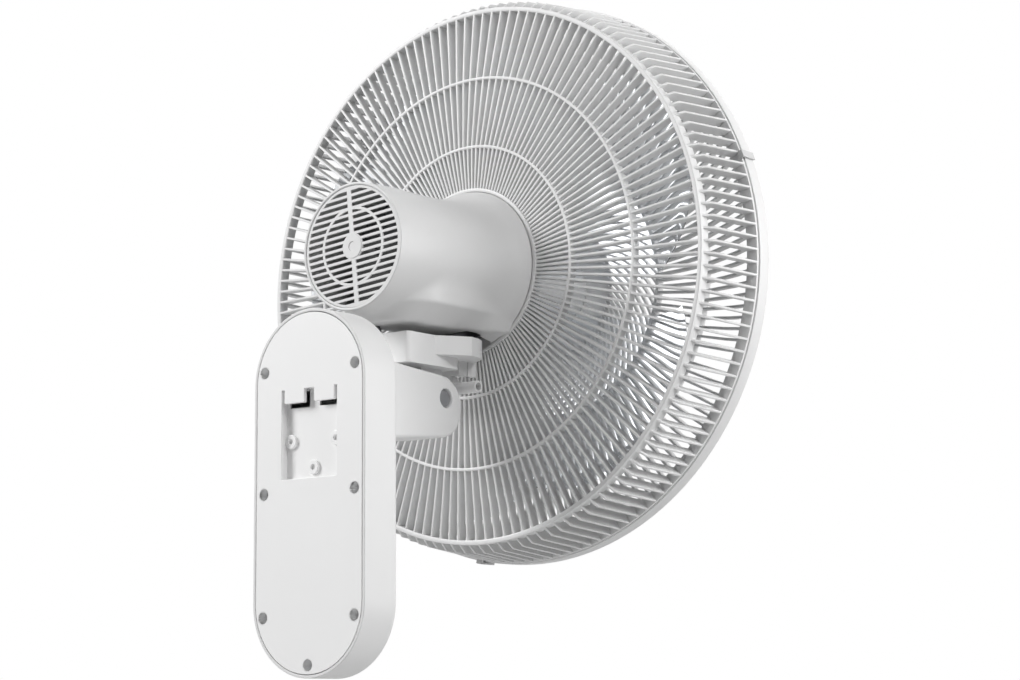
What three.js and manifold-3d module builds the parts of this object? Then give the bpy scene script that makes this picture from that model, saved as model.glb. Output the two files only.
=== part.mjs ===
// Wall mounted fan: a flat wall box with a neck, a tilting bracket, an oscillating motor head,
// two moulded rib grilles and a clear five-blade rotor.
// Millimetres, +Z up. The wall is the plane y = 0 and the fan faces -Y.
// The origin is the centre of the back cover's rear face.
import * as THREE from 'three';
import { mergeVertices } from 'three/addons/utils/BufferGeometryUtils.js';
import Module from 'manifold-3d';

// ---- Clearances ---------------------------------------------------------------------------
const CLEAR = 0.3; // between two pieces that touch
const SLIP = 0.4; // round a sliding button

// ---- Wall box -----------------------------------------------------------------------------
const BOX_HALF_WIDTH = 52;
const BOX_HALF_STRAIGHT = 76.3;
const BOX_DEPTH = 35.5;
const BOX_WALL = 2.2;
const BOX_EDGE = 5; // rounding of the front edge
const COVER_THICK = 3;
const BOSS_RADIUS = 4.3;
const PILOT_RADIUS = 1.8;

// ---- Back cover screws ----------------------------------------------------------------------
const SCREW_MARGIN = 9.6; // side screws, in from the box's side
const SCREW_RISE = 9.8; // outer rows, past the ends of the straight sides
const SCREW_FOOT = 9.1; // bottom screw, up from the box's bottom
const SCREW_HALF_SPAN = BOX_HALF_WIDTH - SCREW_MARGIN;
const SCREW_PITCH = BOX_HALF_STRAIGHT + SCREW_RISE;
const SCREW_LOW = BOX_HALF_STRAIGHT + BOX_HALF_WIDTH - SCREW_FOOT;
const WELL_OUTER = 5.8;
const WELL_HOLE = 4.2;
const WELL_DEPTH = 12;
const WELL_FLOOR = 1.8;
const SCREW_SHANK = 1.5;
const SCREW_HEAD = 3.1;
const SCREW_HEAD_THICK = 2;
const SCREW_LENGTH = 16;

// ---- Hanging recess in the back cover -----------------------------------------------------
const RECESS_HALF_WIDTH = 26;
const RECESS_LOW = 9.4;
const RECESS_HIGH = 72.3;
const RECESS_DEPTH = 6.2;
const RECESS_WALL = 1.8;
const TAB_DROP = 9.7;
const TAB_INNER = 4.7;
const TAB_OUTER = 23.3;
const KEYWAY_DROP = 12; // opening behind the tabs
const PEG_HALF_SPAN = 21;
const PEG_HIGH = 36.2;
const PEG_MID = 17.2;
const PEG_RADIUS = 4.6;
const PEG_HOLE = 2;
const PEG_TALL = 2;

// ---- Push buttons on the front of the box ---------------------------------------------------
const BUTTON_COUNT = 4;
const BUTTON_TOP = -30;
const BUTTON_PITCH = 20;
const BUTTON_WIDTH = 18;
const BUTTON_HEIGHT = 11;
const BUTTON_PROUD = 2.5;
const BUTTON_TRAVEL = 1.5;
const BUTTON_LIP = 1.6;
const BUTTON_STEM = 2.5;
const BUTTON_FLANGE = 2; // catch behind the front wall

// ---- Control board ----------------------------------------------------------------------------
const BOARD_WIDTH = 60;
const BOARD_LOW = -104;
const BOARD_HIGH = -14;
const BOARD_THICK = 1.6;
const BOARD_OFF = 11; // gap between the board and the front wall
const SWITCH_TALL = 3.2;

// ---- Neck ---------------------------------------------------------------------------------------
const NECK_HALF_WIDTH = 20;
const NECK_EDGE = 3;
const NECK_WALL = 3;
const NECK_REACH = 86.5; // from the box's front to the middle of the nose
const NOSE_Y = -(BOX_DEPTH + NECK_REACH);
const NOSE_DROP = 6.8; // below the top of the box's straight sides
const NOSE_Z = BOX_HALF_STRAIGHT - NOSE_DROP;
const NOSE_RADIUS = 23;
const NOSE_FROM = -100; // degrees round the nose, from its underside
const NOSE_TO = -265; // to its top
const NECK_UNDER = 31.5; // at the box, below and above the middle of the nose
const NECK_OVER = 29.5;
const NECK_LOW = NOSE_Z - NECK_UNDER;
const NECK_HIGH = NOSE_Z + NECK_OVER;

// ---- Tilt pivot ---------------------------------------------------------------------------------
const PIVOT_AHEAD = 4; // pivot ahead of and above the middle of the nose
const PIVOT_RISE = 6;
const PIVOT_Y = NOSE_Y - PIVOT_AHEAD;
const PIVOT_Z = NOSE_Z + PIVOT_RISE;
const PIVOT_BOLT = 4;
const PIVOT_HEAD = 6.2;
const PIVOT_HEAD_THICK = 3;
const PIVOT_RECESS = 7.2;
const PIVOT_RECESS_DEPTH = 5;
const LEG_HALF_WIDTH = 6.2;
const LEG_RADIUS = 12;

// ---- Tilt bracket ---------------------------------------------------------------------------------
const BRACKET_BEHIND = 42; // behind and ahead of the pivot
const BRACKET_AHEAD = 17;
const BRACKET_REAR = PIVOT_Y + BRACKET_BEHIND;
const BRACKET_FRONT = PIVOT_Y - BRACKET_AHEAD;
const BRACKET_LOW = PIVOT_Z + NOSE_RADIUS; // clears the nose as the head tilts
const BRACKET_TALL = 22.5;
const BRACKET_HALF_WIDTH = 19;
const BRACKET_ROUND = 4;
const PLATE_THICK = 14;
const PLATE_HIGH = BRACKET_LOW + BRACKET_TALL;
const PLATE_LOW = PLATE_HIGH - PLATE_THICK;
const PLATE_EDGE = [
  [18, -13],
  [27, -0.5],
  [34.5, 12],
  [33, 21.5],
  [28.5, 31.5],
  [9, 46],
]; // half width and distance ahead of the pivot along the plate's side
const SWIVEL_AHEAD = 38; // of the pivot
const SWIVEL_Y = PIVOT_Y - SWIVEL_AHEAD;
const SKIRT_HALF_WIDTH = 12; // box round the foot of the swivel post
const SKIRT_BEHIND = 13; // behind and ahead of the post
const SKIRT_AHEAD = 6.6;
const SKIRT_REAR = SWIVEL_Y + SKIRT_BEHIND;
const SKIRT_FRONT = SWIVEL_Y - SKIRT_AHEAD;
const SKIRT_DROP = 10.7; // below the plate
const SKIRT_LOW = PLATE_LOW - SKIRT_DROP;
const SKIRT_GROOVE = 1;
const TUBE_BEHIND = 9; // the post
const TUBE_Y = SWIVEL_Y + TUBE_BEHIND;
const TUBE_DROP = 9.7; // below the skirt
const TUBE_Z = SKIRT_LOW - TUBE_DROP;
const TUBE_RADIUS = 4.6;
const TUBE_BORE = 3.2;
const TUBE_HALF = 27;
const TUBE_WEB = 4; // half the solid middle of the tube, and half its web
const PIN_SINK = 6; // depth of the link pin in the plate

// ---- Swivel post ------------------------------------------------------------------------------------
const POST_RADIUS = 7;
const POST_RISE = 16; // above the plate
const POST_TOP = PLATE_HIGH + POST_RISE;
const POST_SINK = 1.7; // foot of the post, up inside the skirt
const POST_LOW = SKIRT_LOW + POST_SINK;
const POST_FLANGE = 8.6;
const POST_WAIST = 7.6;
const BARREL_RADIUS = 10.5;
const BARREL_CAP = 6; // solid top over the post
const BARREL_TOP = POST_TOP + BARREL_CAP;

// ---- Oscillation crank and link -----------------------------------------------------------------------
const LINK_OFFSET = 15; // link pin, sideways of the swivel axis
const LINK_LENGTH = 76; // from the link pin to the crank shaft, along the fan
const CRANK_Y = SWIVEL_Y + LINK_LENGTH;
const CRANK_THROW = 8.6;
const CRANK_SHAFT = 3;
const LINK_LOW = PLATE_HIGH + 2 * CLEAR;
const LINK_THICK = 1.7;
const LINK_WIDTH = 8;
const LINK_PIN = 2;
const CRANK_ARM_THICK = 2;

// ---- Motor head ---------------------------------------------------------------------------------------
const AXIS_RISE = 58.2; // above the bracket's plate
const AXIS_Z = PLATE_HIGH + AXIS_RISE; // fan axis
const FLANGE_AHEAD = 13; // of the swivel axis
const FLANGE_Y = SWIVEL_Y - FLANGE_AHEAD; // front face of the motor cover
const COVER_LENGTH = 132.7;
const CAP_Y = FLANGE_Y + COVER_LENGTH; // its rear rim
const COVER_WALL = 2.2;
const COVER_PROFILE = [
  [46.7, 0],
  [47.9, 0.23],
  [47.7, 0.5],
  [50.7, 0.76],
  [55.9, 0.91],
  [61.2, 1],
]; // radius, share of the way from the rear rim to the flange
const COVER_SIDES = 28;
const BULGE_GAP = 6.6; // between the plate and the shoulder under the gearbox
const BULGE_SLOPE = 12.4; // height of its sloping sides
const BULGE_COVERED = 17.2; // its top, hidden in the round of the cover, below the axis
const BULGE_LOW = PLATE_HIGH + BULGE_GAP;
const BULGE_RIDGE = BULGE_LOW + BULGE_SLOPE;
const BULGE_TOP = AXIS_Z - BULGE_COVERED;
const BULGE_STATIONS = [48, 30, 16, 7]; // along its sides, behind the flange
const BULGE_WIDE = { centre: 77, radius: 42, halves: [42, 42, 42, 42] };
const BULGE_NARROW = { centre: 85, radius: 23, halves: [23, 30, 38, 40] };
const BULGE_STEPS = 10;
const OPENING_HALF_WIDTH = 22;
const OPENING_LENGTH = 29; // back from the flange

// ---- Rear vent cap ------------------------------------------------------------------------------------
const VENT_INSET = 2;
const VENT_THICK = 2.6;
const VENT_SLOTS = 18;
const VENT_PITCH = 4.7;
const VENT_SLOT = 2.5;
const VENT_REACH = 41;
const VENT_HUB = 8;
const VENT_BAR = 4;
const VENT_RING = 28;
const VENT_RING_WIDTH = 2;
const VENT_ROLL = 5.5; // degrees
const VENT_SCREW_HEAD = 3.4;
const VENT_SCREW_HOLE = 1.8;
const VENT_SCREW_SINK = 1.6;
const VENT_SCREW_HEAD_THICK = 1.8;
const VENT_SCREW_END = 6; // depth in the gearbox
const VENT_SIDES = 16;

// ---- Motor --------------------------------------------------------------------------------------------
const SHAFT_RADIUS = 4;
const SHAFT_BEHIND = 99; // behind and ahead of the flange
const SHAFT_AHEAD = 61;
const SHAFT_REAR = FLANGE_Y + SHAFT_BEHIND;
const SHAFT_FRONT = FLANGE_Y - SHAFT_AHEAD;
const STATOR_RADIUS = 41;
const STATOR_BORE = 23.5;
const STATOR_BEHIND = 65;
const STATOR_REAR = FLANGE_Y + STATOR_BEHIND;
const STATOR_LENGTH = 28;
const WINDING_RADIUS = 34;
const WINDING_BORE = 25;
const WINDING_LENGTH = 11;
const SHIELD_WALL = 3;
const SHIELD_BEHIND = 81.5; // rear shield, and gap ahead of the front one, from the flange
const SHIELD_GAP = 5;
const SHIELD_REAR = FLANGE_Y + SHIELD_BEHIND;
const SHIELD_FRONT = FLANGE_Y + SHIELD_GAP;
const SHIELD_PLATE = 5;
const BEARING_RADIUS = 11;
const BEARING_WIDTH = 7;
const COLLAR_RADIUS = 39.7;
const COLLAR_WALL = 4;
const COLLAR_LENGTH = 14;
const GEARBOX_BEHIND = 107; // the flange
const GEARBOX_REAR = FLANGE_Y + GEARBOX_BEHIND;
const GEARBOX_HALF_WIDTH = 20.5;
const GEARBOX_FLOOR = 5.9; // above the shoulder's underside
const GEARBOX_FOOT = 7.5; // height of its shorter foot
const GEARBOX_CAP = 7.8; // above the axis
const GEARBOX_LOW = BULGE_LOW + GEARBOX_FLOOR;
const GEARBOX_STEP = GEARBOX_LOW + GEARBOX_FOOT;
const GEARBOX_FOOT_BACK = 10; // how far the foot stands back
const GEARBOX_FOOT_REAR = GEARBOX_REAR - GEARBOX_FOOT_BACK;
const CRANK_SINK = 8; // depth of the crank shaft in the gearbox
const GEARBOX_HIGH = AXIS_Z + GEARBOX_CAP;

// ---- Grilles ------------------------------------------------------------------------------------------
const REAR_RIBS = 24;
const FRONT_RIBS = 20;
const RIB_THICK = 1.9;
const RING_WIDTH = 2.4;
const RIB_DEPTH = 5.6;
const RIM_RADIUS = 217.6;
const CAGE_DEPTH = 64.3; // from the flange to the seam of the rims
const RIM_Y = FLANGE_Y - CAGE_DEPTH;
const RIM_HEIGHT = 2.4;
const RIM_WIDTH = 5.4;
const RING_ONE = [96.5, -0.8]; // radius, distance ahead of the flange
const RING_TWO = [150.4, 2.6];
const RING_THREE_INSET = 12.6; // in from the rim
const RING_THREE_AHEAD = 8.2;
const RING_THREE_DEPTH = 9;
const BEND_INSET = 5;
const BEND_AHEAD = 17.4;
const HUB_PLATE = 3;
const FRONT_RIM_STEP = 1; // outside the rear rim
const FRONT_RIM_RADIUS = RIM_RADIUS + FRONT_RIM_STEP;
const FRONT_RIM_HEIGHT = 13;
const SHOULDER_INSET = 6; // where the front ribs leave the rim
const DOME_RING_OUT = [156, 30.7]; // radius, distance ahead of the seam
const DOME_RING_MID = [104, 43.7];
const DOME_HUB = [52, 49.7];
const DOME_HUB_BORE = 30;
const DOME_DEPTH = 4.5;
const DOME_TWIST = 16; // degrees of turn of the inner ribs
const NUT_RADIUS = 50;
const NUT_LENGTH = 9;
const BADGE_RADIUS = 44;
const BADGE_THICK = 2.5;
const CLIP_COUNT = 3;
const CLIP_ANGLE = -70.7; // degrees from the top, towards +X
const CLIP_WIDTH = 6;
const CLIP_WALL = 1.8;
const CLIP_REACH = 14; // forward of the seam
const NUT_GRIPS = 12;
const NUT_GRIP_RADIUS = 3;

// ---- Fan blade ----------------------------------------------------------------------------------------
const BLADE_COUNT = 5;
const BLADE_GAP = 23.6; // from the tip to the rim
const BLADE_TIP = RIM_RADIUS - BLADE_GAP;
const BLADE_HUB = 33;
const BLADE_AHEAD = 18; // of the flange
const BLADE_REAR = FLANGE_Y - BLADE_AHEAD;
const BLADE_DEPTH = 38;
const BLADE_THICK = 1.8;
const BLADE_SPAN = 62; // degrees that a blade covers at its widest
const HUB_LENGTH = 34;
const HUB_WALL = 3;
const HUB_CORE = 9;
const SPINNER_RADIUS = 15;
const SPINNER_LENGTH = 16;

// ---- Colours ------------------------------------------------------------------------------------------
const WHITE = { color: 0xdfe1e2, roughness: 0.5, metalness: 0 };
const PALE = { color: 0xd3d5d7, roughness: 0.45, metalness: 0 };
const STEEL = { color: 0xb9bcc0, roughness: 0.35, metalness: 1 };
const DARK_STEEL = { color: 0x6b6e72, roughness: 0.5, metalness: 1 };
const COPPER = { color: 0xb2683a, roughness: 0.45, metalness: 1 };
const CLEAR_BLUE = { color: 0xd4e2ec, roughness: 0.2, metalness: 0, transparent: true, opacity: 0.35 };
const GREEN = { color: 0x2f6b46, roughness: 0.6, metalness: 0 };
const CAST = { color: 0x9b9ea2, roughness: 0.55, metalness: 1 };

const DEG = Math.PI / 180;
const wasm = await Module();
wasm.setup();

// ---- Solids from closed geometries --------------------------------------------------------------------
function signedVolume(position, index) {
  const a = new THREE.Vector3();
  const b = new THREE.Vector3();
  const c = new THREE.Vector3();
  let sum = 0;
  for (let i = 0; i < index.count; i += 3) {
    a.fromBufferAttribute(position, index.getX(i));
    b.fromBufferAttribute(position, index.getX(i + 1));
    c.fromBufferAttribute(position, index.getX(i + 2));
    sum += a.dot(b.cross(c));
  }
  return sum / 6;
}

function merged(geometry) {
  const bare = geometry.clone();
  bare.deleteAttribute('normal');
  bare.deleteAttribute('uv');
  return mergeVertices(bare, 1e-4);
}

function solid(geometry) {
  const closed = merged(geometry);
  const triangles = [];
  const turn = signedVolume(closed.attributes.position, closed.index) < 0;
  for (let i = 0; i < closed.index.count; i += 3) {
    const a = closed.index.getX(i);
    const b = closed.index.getX(i + 1);
    const c = closed.index.getX(i + 2);
    if (a === b || b === c || c === a) continue;
    triangles.push(...(turn ? [a, c, b] : [a, b, c]));
  }
  const mesh = new wasm.Mesh({
    numProp: 3,
    vertProperties: new Float32Array(closed.attributes.position.array),
    triVerts: new Uint32Array(triangles),
  });
  return new wasm.Manifold(mesh);
}

function join(first, ...others) {
  return others.reduce((body, piece) => body.add(piece), first);
}

function cut(body, ...tools) {
  return tools.reduce((rest, tool) => rest.subtract(tool), body);
}

function geometryOf(body) {
  const { vertProperties, triVerts } = body.getMesh();
  const geometry = new THREE.BufferGeometry();
  geometry.setAttribute('position', new THREE.BufferAttribute(new Float32Array(vertProperties), 3));
  geometry.setIndex(new THREE.BufferAttribute(new Uint32Array(triVerts), 1));
  return geometry;
}

// ---- Simple shapes ------------------------------------------------------------------------------------
function block(x0, x1, y0, y1, z0, z1) {
  const box = new THREE.BoxGeometry(Math.abs(x1 - x0), Math.abs(y1 - y0), Math.abs(z1 - z0));
  return solid(box.translate((x0 + x1) / 2, (y0 + y1) / 2, (z0 + z1) / 2));
}

function rodX(radius, x0, x1, y, z, sides = 16) {
  const rod = new THREE.CylinderGeometry(radius, radius, Math.abs(x1 - x0), sides);
  return solid(rod.rotateZ(Math.PI / 2).translate((x0 + x1) / 2, y, z));
}

function rodY(radius, y0, y1, x, z, sides = 16) {
  const rod = new THREE.CylinderGeometry(radius, radius, Math.abs(y1 - y0), sides);
  return solid(rod.translate(x, (y0 + y1) / 2, z));
}

function rodZ(radius, z0, z1, x, y, sides = 16) {
  const rod = new THREE.CylinderGeometry(radius, radius, Math.abs(z1 - z0), sides);
  return solid(rod.rotateX(Math.PI / 2).translate(x, y, (z0 + z1) / 2));
}

function shapeOf(points) {
  return new THREE.Shape(points.map(([u, v]) => new THREE.Vector2(u, v)));
}

function extruded(points, length, round) {
  const bevel = round > 0;
  const depth = length - 2 * round;
  const settings = { depth, bevelEnabled: bevel, bevelSize: round, bevelThickness: round };
  Object.assign(settings, { bevelOffset: -round, bevelSegments: 3, curveSegments: 1, steps: 1 });
  return new THREE.ExtrudeGeometry(shapeOf(points), settings).translate(0, 0, bevel ? round : 0);
}

// Points (y, z) pushed along +X from x0 to x1.
function prismX(points, x0, x1, round = 0) {
  const basis = new THREE.Matrix4().makeBasis(
    new THREE.Vector3(0, 1, 0),
    new THREE.Vector3(0, 0, 1),
    new THREE.Vector3(1, 0, 0),
  );
  return solid(extruded(points, x1 - x0, round).applyMatrix4(basis).translate(x0, 0, 0));
}

// Points (x, y) pushed along +Z from z0 to z1.
function prismZ(points, z0, z1, round = 0) {
  return solid(extruded(points, z1 - z0, round).translate(0, 0, z0));
}

// Points (x, z) pushed along -Y from y0 to y1.
function prismY(points, y0, y1, round = 0) {
  return solid(extruded(points, y0 - y1, round).rotateX(Math.PI / 2).translate(0, y0, 0));
}

// Closed loop of (radius, y) turned about the fan axis.
function turned(profile, sides = 16) {
  const loop = profile.map(([r, y]) => new THREE.Vector2(r, y));
  if (profile[0][0] > 0) loop.push(loop[0].clone());
  return solid(new THREE.LatheGeometry(loop, sides).translate(0, 0, AXIS_Z));
}

// Closed loop of (radius, z) turned about an upright axis.
function turnedUp(profile, x, y, sides = 14) {
  const loop = profile.map(([r, z]) => new THREE.Vector2(r, z));
  if (profile[0][0] > 0) loop.push(loop[0].clone());
  return solid(new THREE.LatheGeometry(loop, sides).rotateX(Math.PI / 2).translate(x, y, 0));
}

function stadium(inset, steps = 10) {
  const radius = BOX_HALF_WIDTH - inset;
  const points = [];
  for (const side of [1, -1]) {
    for (let i = 0; i <= steps; i += 1) {
      const angle = (Math.PI * i) / steps;
      points.push([side * radius * Math.cos(angle), side * (BOX_HALF_STRAIGHT + radius * Math.sin(angle))]);
    }
  }
  return points;
}

function arc(cy, cz, radius, from, to, steps) {
  const points = [];
  for (let i = 0; i <= steps; i += 1) {
    const angle = (from + ((to - from) * i) / steps) * DEG;
    points.push([cy + radius * Math.cos(angle), cz + radius * Math.sin(angle)]);
  }
  return points;
}

function screwPlaces() {
  const places = [];
  for (const z of [SCREW_PITCH, 0, -SCREW_PITCH]) {
    places.push([SCREW_HALF_SPAN, z], [-SCREW_HALF_SPAN, z]);
  }
  places.push([0, -SCREW_LOW]);
  return places;
}

function buttonHeights() {
  return Array.from({ length: BUTTON_COUNT }, (_, i) => BUTTON_TOP - i * BUTTON_PITCH);
}

// ---- Wall box -----------------------------------------------------------------------------------------
const BOX_INSIDE = -(BOX_DEPTH - BOX_WALL); // inner face of the front wall

function housingShell() {
  const sections = [];
  const steps = 3;
  for (let i = 0; i <= steps; i += 1) {
    const angle = ((90 * i) / steps) * DEG;
    const inset = BOX_EDGE * (1 - Math.cos(angle));
    sections.push([inset, -(BOX_DEPTH - BOX_EDGE) - BOX_EDGE * Math.sin(angle)]);
  }
  const levels = [[0, 0], ...sections];
  let body = skin(levels.map(([inset]) => stadium(inset)), ([x, z], k) => [x, levels[k][1], z]);
  body = cut(body, prismY(stadium(BOX_WALL), 1, BOX_INSIDE));
  for (const [x, z] of screwPlaces()) {
    const top = -WELL_DEPTH - CLEAR;
    body = join(body, rodY(BOSS_RADIUS, top, BOX_INSIDE - 1, x, z, 8));
    body = cut(body, rodY(PILOT_RADIUS, top + 1, BOX_INSIDE, x, z, 6));
  }
  for (const [x, z] of boardPosts()) {
    body = join(body, rodY(BOSS_RADIUS - 1, BOX_INSIDE + BOARD_OFF, BOX_INSIDE - 1, x, z, 8));
  }
  for (const z of buttonHeights()) {
    const w = BUTTON_WIDTH / 2 + SLIP;
    const h = BUTTON_HEIGHT / 2 + SLIP;
    body = cut(body, block(-w, w, BOX_INSIDE + 1, -BOX_DEPTH - 1, z - h, z + h));
  }
  const wireWay = (NECK_LOW + NECK_HIGH) / 2;
  return cut(body, rodY(NECK_HALF_WIDTH / 2, BOX_INSIDE + 1, -BOX_DEPTH - 1, 0, wireWay));
}

// Outlines with the same number of points joined into one closed skin, the first one lowest.
// lift(point, level) gives each point its place.
function skin(outlines, lift) {
  const positions = outlines.flatMap((outline, k) => outline.flatMap((point) => lift(point, k)));
  const count = outlines[0].length;
  const last = (outlines.length - 1) * count;
  const faces = [];
  for (let s = 0; s < last; s += count) {
    for (let i = 0; i < count; i += 1) {
      const j = (i + 1) % count;
      faces.push(s + i, s + j, s + count + j, s + i, s + count + j, s + count + i);
    }
  }
  for (const [a, b, c] of capFaces(outlines[0])) faces.push(a, c, b);
  for (const [a, b, c] of capFaces(outlines.at(-1))) faces.push(last + a, last + b, last + c);
  const geometry = new THREE.BufferGeometry();
  geometry.setAttribute('position', new THREE.Float32BufferAttribute(positions, 3));
  geometry.setIndex(faces);
  return solid(geometry);
}

function capFaces(outline) {
  return THREE.ShapeUtils.triangulateShape(outline.map(([u, v]) => new THREE.Vector2(u, v)), []);
}

function boardPosts() {
  const x = BOARD_WIDTH / 2 - BOSS_RADIUS;
  const low = BOARD_LOW + BOSS_RADIUS;
  const high = BOARD_HIGH - BOSS_RADIUS;
  return [[x, low], [-x, low], [x, high], [-x, high]];
}

function backCover() {
  const edge = BOX_WALL + CLEAR;
  let body = prismY(stadium(edge), 0, -COVER_THICK);
  const wide = RECESS_HALF_WIDTH + RECESS_WALL;
  const low = RECESS_LOW - RECESS_WALL;
  const high = RECESS_HIGH + RECESS_WALL;
  body = join(body, block(-wide, wide, -COVER_THICK / 2, -RECESS_DEPTH - RECESS_WALL, low, high));
  for (const [x, z] of screwPlaces()) {
    body = join(body, rodY(WELL_OUTER, -COVER_THICK / 2, -WELL_DEPTH, x, z, 8));
  }
  const half = RECESS_HALF_WIDTH;
  body = cut(body, block(-half, half, 1, -RECESS_DEPTH, RECESS_LOW, RECESS_HIGH));
  body = join(body, ...recessPegs());
  for (const side of [-1, 1]) {
    const [x0, x1] = [side * TAB_INNER, side * TAB_OUTER];
    const drop = RECESS_HIGH - KEYWAY_DROP;
    body = cut(body, block(x0, x1, -COVER_THICK, -RECESS_DEPTH - RECESS_WALL - 1, drop, RECESS_HIGH));
    body = join(body, block(x0, x1, 0, -COVER_THICK, RECESS_HIGH - TAB_DROP, RECESS_HIGH + 1));
  }
  for (const [x, z] of screwPlaces()) {
    body = cut(body, rodY(WELL_HOLE, 1, -WELL_DEPTH + WELL_FLOOR, x, z, 10));
    body = cut(body, rodY(SCREW_SHANK + CLEAR, 1, -WELL_DEPTH - 1, x, z, 6));
  }
  return body;
}

function recessPegs() {
  return [[PEG_HALF_SPAN, PEG_HIGH], [-PEG_HALF_SPAN, PEG_HIGH], [0, PEG_MID]].map(([x, z]) => {
    const top = -RECESS_DEPTH + PEG_TALL;
    const peg = rodY(PEG_RADIUS, top, -RECESS_DEPTH - 1, x, z, 12);
    return cut(peg, rodY(PEG_HOLE, top + 1, -RECESS_DEPTH, x, z, 8));
  });
}

function coverScrew([x, z]) {
  const seat = -WELL_DEPTH + WELL_FLOOR + CLEAR;
  const head = rodY(SCREW_HEAD, seat + SCREW_HEAD_THICK, seat, x, z, 8);
  return join(head, rodY(SCREW_SHANK, seat + 1, seat - SCREW_LENGTH, x, z, 6));
}

function button(z) {
  const [w, h] = [BUTTON_WIDTH / 2, BUTTON_HEIGHT / 2];
  const lipFace = BOX_INSIDE + CLEAR;
  const cap = block(-w, w, lipFace, -BOX_DEPTH - BUTTON_PROUD, z - h, z + h);
  const [wide, tall] = [w + BUTTON_FLANGE, h + BUTTON_FLANGE];
  const lip = block(-wide, wide, lipFace + BUTTON_LIP, lipFace, z - tall, z + tall);
  const stemEnd = BOX_INSIDE + BOARD_OFF - SWITCH_TALL - BUTTON_TRAVEL - CLEAR;
  return join(cap, lip, rodY(BUTTON_STEM, stemEnd, lipFace, 0, z, 8));
}

function controlBoard() {
  const face = BOX_INSIDE + BOARD_OFF + CLEAR;
  const back = face + BOARD_THICK;
  const half = BOARD_WIDTH / 2;
  let body = block(-half, half, back, face, BOARD_LOW, BOARD_HIGH);
  for (const z of buttonHeights()) {
    body = join(body, block(-3, 3, back - 1, face - SWITCH_TALL, z - 3, z + 3));
  }
  const tall = -COVER_THICK - SWITCH_TALL;
  body = join(body, block(6, 26, face, tall, -42, -22), rodY(5, face, tall, -18, -34, 10));
  return join(body, block(-24, -10, face, tall - 3, -66, -54), rodY(4, face, tall, 18, -64, 10));
}

// ---- Neck and tilt pivot ------------------------------------------------------------------------------
function neckOutline(inset) {
  const nose = arc(NOSE_Y, NOSE_Z, NOSE_RADIUS - inset, NOSE_FROM, NOSE_TO, 12);
  const back = -BOX_DEPTH - CLEAR;
  return [[back, NECK_HIGH - inset], [back, NECK_LOW + inset], ...nose];
}

function neckShell() {
  let body = prismX(neckOutline(0), -NECK_HALF_WIDTH, NECK_HALF_WIDTH, NECK_EDGE);
  const half = NECK_HALF_WIDTH - NECK_WALL;
  const hollowEnd = PIVOT_Y + LEG_RADIUS + 2 * NECK_WALL + NECK_WALL;
  const high = NECK_HIGH - 3 * NECK_WALL;
  body = cut(body, block(-half, half, 0, hollowEnd, NECK_LOW + 2 * NECK_WALL + NECK_EDGE, high));
  const slot = LEG_HALF_WIDTH + CLEAR;
  const slotLow = PIVOT_Z - LEG_RADIUS - CLEAR - 1;
  const slotRear = PIVOT_Y + LEG_RADIUS + NECK_WALL;
  body = cut(body, block(-slot, slot, slotRear, NOSE_Y - NOSE_RADIUS - 1, slotLow, NECK_HIGH + 1));
  const bore = rodX(PIVOT_BOLT + CLEAR, -NECK_HALF_WIDTH - 1, NECK_HALF_WIDTH + 1, PIVOT_Y, PIVOT_Z);
  body = cut(body, bore);
  for (const side of [-1, 1]) {
    const [x0, x1] = [side * (NECK_HALF_WIDTH + 1), side * (NECK_HALF_WIDTH - PIVOT_RECESS_DEPTH)];
    body = cut(body, rodX(PIVOT_RECESS, x0, x1, PIVOT_Y, PIVOT_Z));
  }
  return body;
}

const PIVOT_SEAT = NECK_HALF_WIDTH - PIVOT_RECESS_DEPTH + CLEAR;

function pivotBolt() {
  const head = rodX(PIVOT_HEAD, -PIVOT_SEAT, -PIVOT_SEAT - PIVOT_HEAD_THICK, PIVOT_Y, PIVOT_Z);
  const end = PIVOT_SEAT + PIVOT_HEAD_THICK + 1;
  return join(head, rodX(PIVOT_BOLT, -PIVOT_SEAT - 1, end, PIVOT_Y, PIVOT_Z));
}

function pivotNut() {
  const nut = rodX(PIVOT_HEAD, PIVOT_SEAT, PIVOT_SEAT + PIVOT_HEAD_THICK, PIVOT_Y, PIVOT_Z, 6);
  return cut(nut, rodX(PIVOT_BOLT + CLEAR, 0, NECK_HALF_WIDTH + 1, PIVOT_Y, PIVOT_Z));
}

// ---- Tilt bracket and swivel post -----------------------------------------------------------------------
function roundedBox(halfWidth, y0, y1, z0, z1, round) {
  const x = halfWidth - round;
  const corners = [[x, y0 - round], [-x, y0 - round], [-x, y1 + round], [x, y1 + round]];
  const quarter = 360 / corners.length;
  return prismZ(corners.flatMap(([cx, cy], k) => arc(cx, cy, round, k * quarter, (k + 1) * quarter, 3)), z0, z1);
}

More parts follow.
